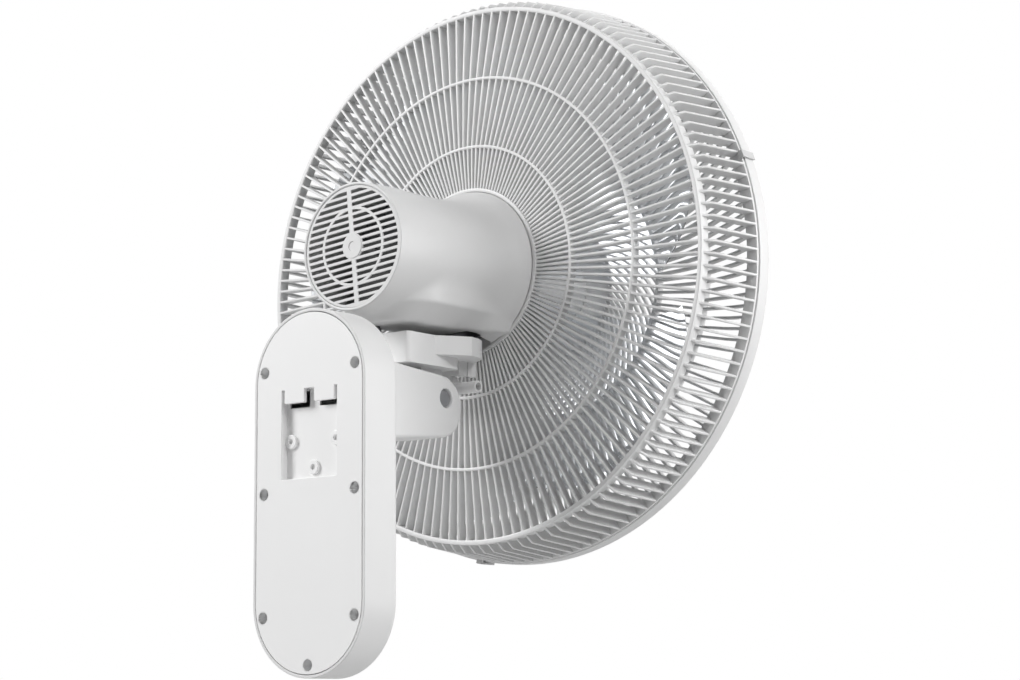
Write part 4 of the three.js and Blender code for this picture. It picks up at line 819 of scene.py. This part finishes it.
class FAN_OT_bracket(Operator):
    """Finishes the neck, the tilting bracket and the swivel post."""

    bl_idname = "fan.bracket"
    bl_label = "Neck and Bracket"

    def execute(self, context):
        tint = context.scene.fan_colours.bracket
        finish = plastic("Bracket Plastic", tint)
        dress("neck_shell", "wall_box", finish, 1.0 * MM, 3)
        dress("tilt_bracket", "bracket", finish, 0.5 * MM, 3)
        post = plastic("Post Plastic", shade(tint, 0.94))
        dress("swivel_post", "bracket", post, 0.3 * MM)
        return {"FINISHED"}


# ---- Motor cover and vent cap -------------------------------------------------------------------


# Measured stations of the barrel, as shares of its length and radii, and half widths of the
# bulge's underside at places along the axis
BARREL_SHARES = np.array([0, 0.23, 0.5, 0.74, 0.87, 0.93, 1.0])
BARREL_RADII = np.array([46.7, 47.9, 47.7, 50.2, 55.4, 58.9, 61.2]) * MM
UNDER_PLACES = np.array([-170, -161, -147, -129, -92]) * MM
UNDER_HALVES = np.array([40, 38, 30, 23, 23]) * MM


def cover_radius(y):
    """The barrel's radius along the axis: a smooth (Hermite) curve through its stations."""
    share, radii = BARREL_SHARES, BARREL_RADII
    t = (y - COVER_HIGH.y) / (COVER_LOW.y - COVER_HIGH.y)
    slope = np.gradient(radii, share)
    k = np.clip(np.searchsorted(share, t) - 1, 0, len(share) - 2)
    width = share[k + 1] - share[k]
    u = np.clip((t - share[k]) / width, 0, 1)
    first = (2 * u**3 - 3 * u**2 + 1) * radii[k] + (u**3 - 2 * u**2 + u) * width * slope[k]
    second = (3 * u**2 - 2 * u**3) * radii[k + 1] + (u**3 - u**2) * width * slope[k + 1]
    return first + second


def soft_max(a, b, blend):
    """The larger of two lengths, with the crease between them rounded over blend."""
    gap = np.clip(0.5 + 0.5 * (a - b) / blend, 0, 1)
    return b + (a - b) * gap + blend * gap * (1 - gap)


def bulge_depth(sizes, x, y, z):
    """How deep a point lies inside the bulge: the lesser of its height over the underside and its
    distance from the side. The side goes straight down to the wide edge, and from there slopes in
    to the underside. At each level its plan is a half circle with widening sides ahead of it."""
    share = np.clip((-z - sizes.bulge_wall) / (sizes.bulge_drop - sizes.bulge_wall), 0, 1)
    centre = sizes.bulge_centre + (sizes.under_centre - sizes.bulge_centre) * share
    radius = sizes.bulge_half + (sizes.under_half - sizes.bulge_half) * share
    under = np.interp(y, UNDER_PLACES, UNDER_HALVES)
    side = sizes.bulge_half + (under - sizes.bulge_half) * share
    behind = np.maximum(y - centre, 0)
    inside = np.where(y > centre, radius - np.hypot(x, behind), side - np.abs(x))
    return -soft_max(-inside, -(z + sizes.bulge_drop), sizes.bulge_round)


def bulge_reach(sizes, y, turn):
    """Distance from the axis to the bulge's surface, turned from straight down by an angle: the
    last of a row of distances that still lies inside, moved on by its share of a step."""
    steps = np.linspace(REACH_FROM, REACH_TO, REACH_COUNT)[:, None, None] * MM
    x, z = steps * np.sin(turn), -steps * np.cos(turn)
    depth = bulge_depth(sizes, x, y[None], z)
    last = len(steps) - 1 - np.argmax(depth[::-1] > 0, axis=0)
    last = np.minimum(last, len(steps) - 2)
    here = np.take_along_axis(depth, last[None], 0)[0]
    ahead = np.take_along_axis(depth, last[None] + 1, 0)[0]
    share = np.clip(here / np.maximum(here - ahead, 1e-9), 0, 1)
    reach = steps[last, 0, 0] + share * (steps[1, 0, 0] - steps[0, 0, 0])
    return np.where((depth > 0).any(axis=0), reach, 0)


def cover_grid(sizes):
    """The motor cover's surface over (y, angle): the barrel's radius, or the reach of the gearbox
    bulge below it where that is larger."""
    rows, columns = 132, 264
    y = np.linspace(COVER_HIGH.y, COVER_LOW.y, rows)[:, None]
    turn = np.linspace(0, 2 * math.pi, columns, endpoint=False)[None, :]
    barrel = np.broadcast_to(cover_radius(y), (rows, columns))
    reach = np.where(np.cos(turn) > 0.02, bulge_reach(sizes, y, turn), 0)
    radius = soft_max(reach, barrel, sizes.blend)
    x = radius * np.sin(turn)
    z = AXIS_Z - radius * np.cos(turn)
    return np.stack([x, np.broadcast_to(y, x.shape), z], axis=-1)


class FAN_OT_motor_cover(Operator):
    """Builds the motor cover: a flared barrel with a gearbox bulge, open at both ends and below."""

    bl_idname = "fan.motor_cover"
    bl_label = "Motor Cover"

    def execute(self, context):
        sizes = context.scene.fan_head
        points, quads = surface(cover_grid(sizes), wrap_columns=True)
        x, y, z = points[quads].mean(axis=1).T
        hole = (np.abs(x) < OPEN_HALF) & (y < OPEN_FRONT) & (z < AXIS_Z - OPEN_DROP)
        piece = make_piece("motor_cover_shell", [(points, quads[~hole])], 50)
        wall = piece.modifiers.new("Wall", "SOLIDIFY")
        wall.thickness = sizes.cover_wall
        wall.offset = -1
        wall.use_even_offset = True
        soften(piece, 0.5 * MM, 2, 60)
        finish = plastic("Motor Cover Plastic", context.scene.fan_colours.motor, 0.4)
        place(piece, "motor_cover", "head", finish)
        return {"FINISHED"}


def slot_piece(outside, inside, z):
    """One slot's closed outline: the levels z at which it is wide enough, up along its outer end
    and down along its inner end. None where fewer than two levels are left."""
    keep = outside - inside > SLOT_LEAST
    if keep.sum() < 2:
        return None
    outer = np.stack([outside[keep], z[keep]], axis=-1)
    inner = np.stack([inside[keep], z[keep]], axis=-1)
    return np.concatenate([outer, inner[::-1]])


def vent_loops(sizes):
    """Outlines of all slots: in each row one piece from the rim circle in to the ring or the bar,
    and one from the ring's inside to the hub or the bar, mirrored about the bar and turned."""
    loops = []
    turn = sizes.vent_roll
    spin = np.array([[math.cos(turn), -math.sin(turn)], [math.sin(turn), math.cos(turn)]])
    bar, half_ring = sizes.vent_bar / 2, sizes.vent_ring_width / 2
    circles = [sizes.vent_reach, sizes.vent_ring + half_ring]
    circles += [sizes.vent_ring - half_ring, sizes.vent_hub]
    for row in range(sizes.vent_rows):
        z = (row - (sizes.vent_rows - 1) / 2) * sizes.vent_pitch
        z = z + np.linspace(-0.5, 0.5, 7) * sizes.vent_slot
        far, out, into, hub = [np.sqrt(np.maximum(radius**2 - z**2, 0)) for radius in circles]
        for outside, inside in ((far, np.maximum(out, bar)), (into, np.maximum(hub, bar))):
            slot = slot_piece(outside, inside, z)
            if slot is not None:
                loops += [(slot * [side, 1]) @ spin.T * [-1, 1] + [0, AXIS_Z] for side in (1, -1)]
    return loops


class FAN_OT_vent_cap(Operator):
    """Builds the vent cap: a disc with rows of slots, crossed by a ring and a bar, inside a rim."""

    bl_idname = "fan.vent_cap"
    bl_label = "Vent Cap"

    def execute(self, context):
        sizes = context.scene.fan_head
        radius = float(cover_radius(np.array(COVER_HIGH.y))) - sizes.cover_wall - 0.2 * MM
        loops = [circle(radius, 128) + [0, AXIS_Z], *vent_loops(sizes)]
        rear = COVER_HIGH.y - sizes.vent_inset
        face = plate("vent_face", loops, rear, rear - sizes.vent_thick, 0.15 * MM)
        hole, hub = 3.6 * MM, sizes.vent_hub
        top, foot = rear + 0.5 * MM, rear - 1 * MM
        boss = turned([[hole, top], [hub - 1 * MM, top], [hub, foot], [hole, foot]], 64)
        piece = joined("vent_cap_face", [face, make_piece("vent_boss", [boss])])
        finish = plastic("Vent Plastic", shade(context.scene.fan_colours.motor, 1.04), 0.44)
        place(piece, "vent_cap", "head", finish)
        return {"FINISHED"}


# ---- Grilles ------------------------------------------------------------------------------------


def rib_section(thick):
    """Half widths, depth shares and trims of a rib's eight section points: a plate with chamfered
    edges, where the trims move points along the depth by the chamfer."""
    half = thick / 2
    chamfer = half * 0.45
    across = np.array([half - chamfer, half, half, half - chamfer])
    across = np.concatenate([across, -across[::-1]])
    depth = np.array([0, 0.0, 1.0, 1.0])
    depth = np.concatenate([depth, depth[::-1]])
    trim = np.array([0, chamfer, -chamfer, 0])
    trim = np.concatenate([trim, trim[::-1]])
    return across, depth, trim


def ribs(stations, count, thick):
    """Closed rib plates repeated round the axis. stations holds rows of (outer radius, outer y,
    inner radius, inner y, turn). Each rib is one plate whose two edges follow the stations."""
    stations = np.asarray(stations, float)
    across, depth, trim = rib_section(thick)
    outer, inner, turn = stations[:, 0:2], stations[:, 2:4], stations[:, 4]
    way = (inner - outer) / np.linalg.norm(inner - outer, axis=1, keepdims=True)
    spot = outer[:, None] + (inner - outer)[:, None] * depth[None, :, None]
    spot = spot + way[:, None] * trim[None, :, None]
    phase = np.arange(count) * 2 * math.pi / count
    around = phase[:, None, None] + turn[None, :, None]
    radius, y = spot[None, :, :, 0], spot[None, :, :, 1]
    side = across[None, None, :]
    x = radius * np.sin(around) + side * np.cos(around)
    z = radius * np.cos(around) - side * np.sin(around) + AXIS_Z
    grid = np.stack([x, np.broadcast_to(y, x.shape), z], axis=-1)
    levels, sides = grid.shape[1:3]
    quads = grid_quads(levels, sides, wrap_columns=True)
    last = (levels - 1) * sides
    caps = np.array([[0, 1, 2, 3], [0, 3, 4, 7], [4, 5, 6, 7]])
    quads = np.concatenate([quads, caps, last + caps])
    offsets = (np.arange(count) * levels * sides)[:, None, None]
    return grid.reshape(-1, 3), (quads[None] + offsets).reshape(-1, 4)


def band(radius, y, width, depth, sides=288):
    """A ring of rounded rectangular section, from y forwards over depth."""
    low, high = radius - width / 2, radius + width / 2
    corners = [[low, y], [high, y], [high, y - depth], [low, y - depth]]
    return turned(rounded(corners, 0.5 * MM, 2), sides)


# Places along the axis: of the rear grille's three rings, and of the front grille's outer and
# middle ring with the point between them
RING_ONE, RING_TWO, RING_THREE = -176.2 * MM, -179.6 * MM, -185.2 * MM
DOME_OUT, DOME_BETWEEN, DOME_MID = -272 * MM, -280.6 * MM, -285 * MM
RING_STAND = 0.2 * MM  # how far a ring stands out of the ribs


class FAN_OT_rear_grille(Operator):
    """Builds the rear grille: ribs from the hub plate over three rings and the bend to the rim."""

    bl_idname = "fan.rear_grille"
    bl_label = "Rear Grille"

    def execute(self, context):
        sizes = context.scene.fan_grille
        face = COVER_LOW.y - 0.3 * MM
        hub, depth, side = sizes.hub_radius, sizes.rib_depth, sizes.side_depth
        one, two, three = sizes.ring_one, sizes.ring_two, sizes.ring_three
        bend, bend_y = sizes.bend_radius, sizes.bend_y
        rim, seam = sizes.rim_radius, sizes.rim_y
        stations = [
            (hub - 1 * MM, face - 0.6 * MM, hub - 1 * MM, face - depth, 0),
            (one, RING_ONE, one, RING_ONE - depth, 0),
            (two, RING_TWO, two, RING_TWO - depth, 0),
            (three, RING_THREE, three - 1 * MM, RING_THREE - depth - 1.5 * MM, 0),
            (bend, bend_y, bend - side, bend_y - 4 * MM, 0),
            (rim, seam - 1 * MM, rim - side, seam - 1 * MM, 0),
        ]
        parts = [ribs(stations, sizes.ribs, sizes.rib_thick)]
        bore, lip = 40.4 * MM, hub - 2.8 * MM
        groove, ring = face - 0.9 * MM, face + 0.5 * MM
        disc = [[bore, groove], [lip, groove], [lip, ring], [hub, ring], [hub, face - 5 * MM]]
        disc += [[hub - 3 * MM, face - 5 * MM], [hub - 4 * MM, face - 3 * MM]]
        parts.append(turned(rounded([*disc, [bore, face - 3 * MM]], 0.3 * MM, 2), 192))
        width, wide = sizes.ring_width, sizes.ring_width + 1.2 * MM
        parts.append(band(one, RING_ONE + RING_STAND, width, depth))
        parts.append(band(two, RING_TWO + RING_STAND, width, depth))
        parts.append(band(three, RING_THREE + RING_STAND, wide, sizes.ring_three_depth))
        inside, foot = rim - side - 1 * MM, seam - 2.4 * MM
        corners = [[inside, seam], [rim, seam], [rim, foot], [inside, foot]]
        parts.append(turned(rounded(corners, 0.5 * MM, 2), 288))
        piece = make_piece("rear_grille_ribs", parts)
        finish = plastic("Grille Plastic", context.scene.fan_colours.grille, 0.42)
        place(piece, "rear_grille", "head", finish)
        return {"FINISHED"}


class FAN_OT_front_grille(Operator):
    """Builds the front grille: a rim, slanted outer ribs, spiral inner ribs, two rings and a hub
    plate, with its badge, lock nut and clips."""

    bl_idname = "fan.front_grille"
    bl_label = "Front Grille"

    def execute(self, context):
        sizes = context.scene.fan_grille
        seam, front = FRONT_HIGH.y, FRONT_LOW.y
        rim, depth = sizes.front_rim, 6.5 * MM
        crown, slant = seam - 13 * MM, sizes.slant
        out, mid, hub = sizes.dome_out, sizes.dome_mid, sizes.dome_hub
        bow, between = crown - 10.6 * MM, mid + 22 * MM
        outer = [
            (rim - 4 * MM, crown + 2 * MM, rim - 8 * MM, crown + 4 * MM, slant),
            (rim - 12 * MM, crown - 4.2 * MM, rim - 13.5 * MM, crown, slant * 0.86),
            (rim - 34 * MM, bow, rim - 34.6 * MM, bow + depth, slant * 0.5),
            (out, DOME_OUT, out, DOME_OUT + depth, 0),
            (between, DOME_BETWEEN, between, DOME_BETWEEN + depth, 0),
            (mid, DOME_MID, mid, DOME_MID + depth, 0),
        ]
        inner = []
        for share in np.linspace(0, 1, 9):
            radius = mid + (hub - mid) * share
            y = DOME_MID + (front - DOME_MID) * math.sin(share * math.pi / 2) + 0.2 * MM
            turn = sizes.spiral * (share + 0.25 * share**2) / 1.25
            inner.append((radius, y, radius, y + depth - 1.2 * MM, turn))
        thick = sizes.rib_thick
        parts = [ribs(outer, sizes.ribs, thick), ribs(inner, sizes.ribs // 2, thick)]
        for radius, y in ((out, DOME_OUT), (mid, DOME_MID)):
            parts.append(band(radius, y + depth + RING_STAND, 3 * MM, depth + 2 * RING_STAND))
        bore, wide, back = 30 * MM, hub + 2 * MM, front + 3 * MM
        disc = [[bore, front], [hub, front], [wide, front + 1.5 * MM], [wide, front + 4 * MM]]
        parts.append(turned(rounded([*disc, [hub, back], [bore, back]], 0.4 * MM, 2), 128))
        inside = rim - 8.6 * MM
        corners = [[inside, seam], [rim, seam], [rim, crown + 1 * MM]]
        corners += [[rim - 3 * MM, crown - 1.6 * MM], [inside, crown - 0.6 * MM]]
        radii = [0.4 * MM, 0.5 * MM, 3 * MM, 2 * MM, 0.6 * MM]
        parts.append(turned(rounded(corners, radii, 4), 288))
        piece = make_piece("front_grille_ribs", parts)
        tint = context.scene.fan_colours.grille
        finish = plastic("Grille Plastic", tint, 0.42)
        place(piece, "front_grille", "head", finish)
        badge = plastic("Badge Plastic", shade(tint, 0.97), 0.3)
        place(centre_badge(), "centre_badge", "head", badge)
        dress("grille_lock_nut", "head", finish, 0.5 * MM)
        # Painted shade: the clips get a darker copy of the grille plastic, standing in for the
        # shadow they sit in
        shaded_latch = plastic("Latch Plastic", shade(tint, 0.8))
        for k in range(1, 4):
            dress(f"rim_clip_{k}", "head", shaded_latch, 0.5 * MM)
        return {"FINISHED"}


def centre_badge():
    """The plain centre cap: a shallow dome on a stem, turned about the axis."""
    low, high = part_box("centre_badge")
    edge = (high.x - low.x) / 2
    out = 1 - np.linspace(0, 1, 12)
    height = 1.8 * MM * (1 - np.sqrt(1 - out**2))
    dome = np.stack([edge * out - 1 * MM * out, low.y + height], axis=-1)
    stem, under = 29.6 * MM, low.y + 3 * MM
    back = [[0, high.y], [stem, high.y], [stem, under], [edge - 0.6 * MM, under]]
    back += [[edge, low.y + 2.4 * MM]]
    return make_piece("centre_badge_cap", [turned(np.concatenate([back, dome]), 128)])


# ---- Rotor --------------------------------------------------------------------------------------


def blade_grid(sizes, along, across, side):
    """Points of a blade at shares along its length and across its chord. The chord's angle
    follows a parabola, a sweep grows with the square of the length, the depth lessens towards the
    tip and the tip's corners are rounded."""
    u, v = along[:, None], across[None, :]
    radius = sizes.hub - 2 * MM + (sizes.tip - sizes.hub + 2 * MM) * u
    chord = sizes.span * (0.72 + 0.75 * u - 0.47 * u * u)
    around = (v - 0.5) * chord + math.radians(10) * u * u
    shorter = 1 - 0.12 * np.abs(2 * v - 1) ** 2.6 * u**5
    depth = sizes.depth * (0.82 - 0.22 * u)
    edge = np.minimum(1, np.minimum(v, 1 - v) * 14 + 0.3) * np.minimum(1, (1 - u) * 20 + 0.3)
    y = sizes.rear - sizes.thick - depth * v - 3 * MM * np.sin(math.pi * v)
    y = y + (0.5 + side * 0.5 * edge) * sizes.thick
    r = radius * shorter
    return np.stack([r * np.sin(around), y, r * np.cos(around)], axis=-1)


def blades(sizes):
    """All blades as closed shells, each one turned by its share of a circle."""
    along, across = np.linspace(0, 1, 28), np.linspace(0, 1, 22)
    top = blade_grid(sizes, along, across, 1)
    bottom = blade_grid(sizes, along, across, -1)
    strip = np.concatenate([top, bottom[:, ::-1]], axis=1)
    points, quads = surface(strip, wrap_columns=True)
    n = strip.shape[1]
    tip = (len(along) - 1) * n
    half = n // 2
    k = np.arange(half - 1)
    cap = np.stack([k, k + 1, n - 2 - k, n - 1 - k], axis=-1)
    quads = np.concatenate([quads, cap, tip + cap])
    parts = []
    for blade in range(sizes.count):
        turn = Matrix.Rotation(blade * 2 * math.pi / sizes.count, 3, "Y")
        parts.append((points @ np.array(turn).T + [0, 0, AXIS_Z], quads))
    return parts


class FAN_OT_rotor(Operator):
    """Builds the rotor: clear blades on a cup-shaped hub, and the spinner nut on the shaft."""

    bl_idname = "fan.rotor"
    bl_label = "Rotor"

    def execute(self, context):
        sizes = context.scene.fan_blades
        tints = context.scene.fan_colours
        low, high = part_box("fan_blade")
        front, rear, hub = low.y, high.y, sizes.hub
        bore, boss, inside, floor = 4.3 * MM, 9 * MM, hub - 3 * MM, front + 3 * MM
        cup = [[boss, rear], [boss, floor], [inside, floor], [inside, rear], [hub, rear]]
        cup += [[hub, floor], [inside, front], [bore, front], [bore, rear]]
        parts = blades(sizes) + [turned(rounded(cup, 0.4 * MM, 2), 96)]
        piece = make_piece("fan_blades_clear", parts, 40)
        place(piece, "fan_blade", "rotor", clear_plastic(tints.blade))
        finish = plastic("Badge Plastic", tints.grille, 0.3)
        dress("spinner_nut", "rotor", finish, 0.6 * MM, 3)
        steel = metal("Shaft Steel", tints.steel, 0.28, 500.0, (1, 12, 1))
        dress("motor_shaft", "rotor", steel, 0.3 * MM)
        return {"FINISHED"}


class FAN_OT_motor(Operator):
    """Finishes the motor, the gearbox and the oscillation parts."""

    bl_idname = "fan.motor"
    bl_label = "Motor and Gearbox"

    def execute(self, context):
        tints = context.scene.fan_colours
        alloy = metal("Cast Alloy", tints.alloy, 0.5, 420.0, depth=0.06 * MM)
        dark = metal("Dark Steel", tints.dark_steel, 0.45, 300.0)
        copper = banded("Copper Winding", tints.copper, 0.35, 0.9, 700.0, "RINGS", 0.2 * MM)
        stack = banded("Steel Laminations", tints.dark_steel, 0.5, 0.9, 620.0, "BANDS", 0.08 * MM)
        steel = metal("Bearing Steel", tints.steel, 0.22, 300.0)
        box = plastic("Gearbox Plastic", shade(tints.motor, 0.06), 0.5)
        rows = [
            ("rear_end_shield", "head", alloy, "cast_alloy", 0.5),
            ("front_end_shield", "head", alloy, "cast_alloy", 0.6),
            ("stator_core", "head", stack, "dark_steel", 0.2),
            ("winding_rear", "head", copper, "winding", 1.0),
            ("winding_front", "head", copper, "winding", 1.0),
            ("bearing_rear", "head", steel, "screw_steel", 0.2),
            ("bearing_front", "head", steel, "screw_steel", 0.2),
            ("gearbox_housing", "head", box, "motor_cover_plastic", 0.8),
            ("crank_arm", "crank", dark, "dark_steel", 0.2),
            ("oscillation_link", "link", dark, "dark_steel", 0.2),
            ("rotor_core", "rotor", stack, "dark_steel", 0.2),
        ]
        for node, body, finish, slot, edge in rows:
            dress(node, body, finish, edge * MM)
        return {"FINISHED"}


# ---- Stage --------------------------------------------------------------------------------------


def camera_matrix(settings):
    """The camera's place and turn: it looks along minus the direction given by azimuth and
    elevation, and its sideways and upward directions are turned by the roll."""
    a, e, roll = settings.azimuth, settings.elevation, settings.roll
    back = Vector((math.sin(a) * math.cos(e), -math.cos(a) * math.cos(e), math.sin(e)))
    right = (-back).cross(Vector((0, 0, 1))).normalized()
    up = right.cross(-back)
    side = right * math.cos(roll) + up * math.sin(roll)
    head = up * math.cos(roll) - right * math.sin(roll)
    matrix = Matrix((side, head, back)).transposed().to_4x4()
    matrix.translation = Vector(settings.camera_place)
    return matrix


LAMP_TARGET = (0, -0.12, 0.08)
LAMPS = (  # name, place, size and the setting that holds its power
    ("Key", (2.1, 2.0, 1.7), 1.4, "key"),
    ("Side", (-2.0, 0.35, 1.15), 1.0, "side"),
    ("Rim", (-1.2, -0.8, 0.35), 0.8, "rim"),
    ("Top", (-0.2, -0.4, 2.0), 1.6, "top"),
    ("High", (-1.5, 0.6, 1.6), 1.2, "fill"),
    ("Front", (0.8, -2.0, 0.9), 1.4, "fill"),
)


def soft_lamp(name, spot, target, size, energy):
    """A square area lamp at a spot, facing a target."""
    light = bpy.data.lights.new(name, "AREA")
    light.energy = energy
    light.size = size
    lamp = link(name, light)
    lamp.location = spot
    lamp.rotation_euler = (Vector(target) - Vector(spot)).to_track_quat("-Z", "Y").to_euler()


def studio_world(ambient):
    """A white room: its light on the object has the ambient strength, and the camera, gloss and
    clear plastic see plain white."""
    world = bpy.data.worlds.new("Studio")
    world.use_nodes = True
    tree = world.node_tree
    tree.nodes.clear()
    white = (1, 1, 1, 1)
    seen = add_node(tree, "Background", {"Color": white})
    lit = add_node(tree, "Background", {"Color": white, "Strength": ambient})
    path = add_node(tree, "LightPath")
    seen_by = path.outputs["Is Camera Ray"]
    for ray in ("Is Transmission Ray", "Is Glossy Ray"):
        seen_by = arithmetic(tree, "MAXIMUM", seen_by, path.outputs[ray])
    mix = add_node(tree, "MixShader")
    tree.links.new(seen_by, mix.inputs["Fac"])
    tree.links.new(lit.outputs[0], mix.inputs[1])
    tree.links.new(seen.outputs[0], mix.inputs[2])
    out = add_node(tree, "OutputWorld")
    tree.links.new(mix.outputs[0], out.inputs["Surface"])
    bpy.context.scene.world = world


def floor_paint(tint):
    """Pale floor paint, which the camera also sees evenly bright, wherever the lamps stand."""
    paint = plastic("Floor Paint", tint, 0.8, 60.0)
    tree = paint.node_tree
    shader = tree.nodes["Principled BSDF"]
    shader.inputs["Emission Color"].default_value = (FLOOR_GLOW, FLOOR_GLOW, FLOOR_GLOW, 1)
    seen = add_node(tree, "LightPath")
    tree.links.new(seen.outputs["Is Camera Ray"], shader.inputs["Emission Strength"])
    return paint


class FAN_OT_stage(Operator):
    """Builds the camera, the floor, the lamps and the white room."""

    bl_idname = "fan.stage"
    bl_label = "Stage"

    def execute(self, context):
        settings = context.scene.fan_studio
        camera_data = bpy.data.cameras.new("Camera")
        camera_data.sensor_width = 36
        camera_data.lens = settings.lens
        camera_data.clip_end = 50
        camera = link("Camera", camera_data)
        camera.matrix_world = camera_matrix(settings)
        context.scene.camera = camera
        reach, under = 4, -0.9
        corners = [[[x, y, under] for x in (-reach, reach)] for y in (-reach, reach)]
        floor = make_piece("studio_floor", [surface(corners)])
        floor.data.materials.append(floor_paint(context.scene.fan_colours.floor))
        for name, spot, size, setting in LAMPS:
            soft_lamp(name, spot, LAMP_TARGET, size, getattr(settings, setting))
        studio_world(settings.ambient)
        context.scene.view_settings.view_transform = "Standard"
        return {"FINISHED"}


# ---- Panel and registration ---------------------------------------------------------------------

STEPS = (
    FAN_OT_stage,
    FAN_OT_housing,
    FAN_OT_back_cover,
    FAN_OT_screws,
    FAN_OT_buttons,
    FAN_OT_bracket,
    FAN_OT_motor_cover,
    FAN_OT_vent_cap,
    FAN_OT_rear_grille,
    FAN_OT_front_grille,
    FAN_OT_rotor,
    FAN_OT_motor,
)


class FAN_PT_sidebar(Panel):
    """Lists the fan's steps in the sidebar."""

    bl_idname = "FAN_PT_sidebar"
    bl_label = "Wall Fan"
    bl_space_type = "VIEW_3D"
    bl_region_type = "UI"
    bl_category = "Wall Fan"

    def draw(self, context):
        for step in STEPS:
            self.layout.operator(step.bl_idname)


GROUPS = {
    "fan_box": BoxSizes,
    "fan_head": HeadSizes,
    "fan_grille": GrilleSizes,
    "fan_blades": BladeSizes,
    "fan_colours": FanColours,
    "fan_studio": StudioSettings,
}


def register():
    """Registers the property groups, the steps and the panel."""
    for name, group in GROUPS.items():
        bpy.utils.register_class(group)
        setattr(bpy.types.Scene, name, PointerProperty(type=group))
    for cls in (*STEPS, FAN_PT_sidebar):
        bpy.utils.register_class(cls)


def unregister():
    """Takes the panel, the steps and the property groups away again."""
    for cls in (FAN_PT_sidebar, *reversed(STEPS)):
        bpy.utils.unregister_class(cls)
    for name, group in GROUPS.items():
        delattr(bpy.types.Scene, name)
        bpy.utils.unregister_class(group)


def main():
    """Runs every step in order."""
    register()
    for step in STEPS:
        family, name = step.bl_idname.split(".")
        getattr(getattr(bpy.ops, family), name)()


if __name__ == "__main__":
    main()
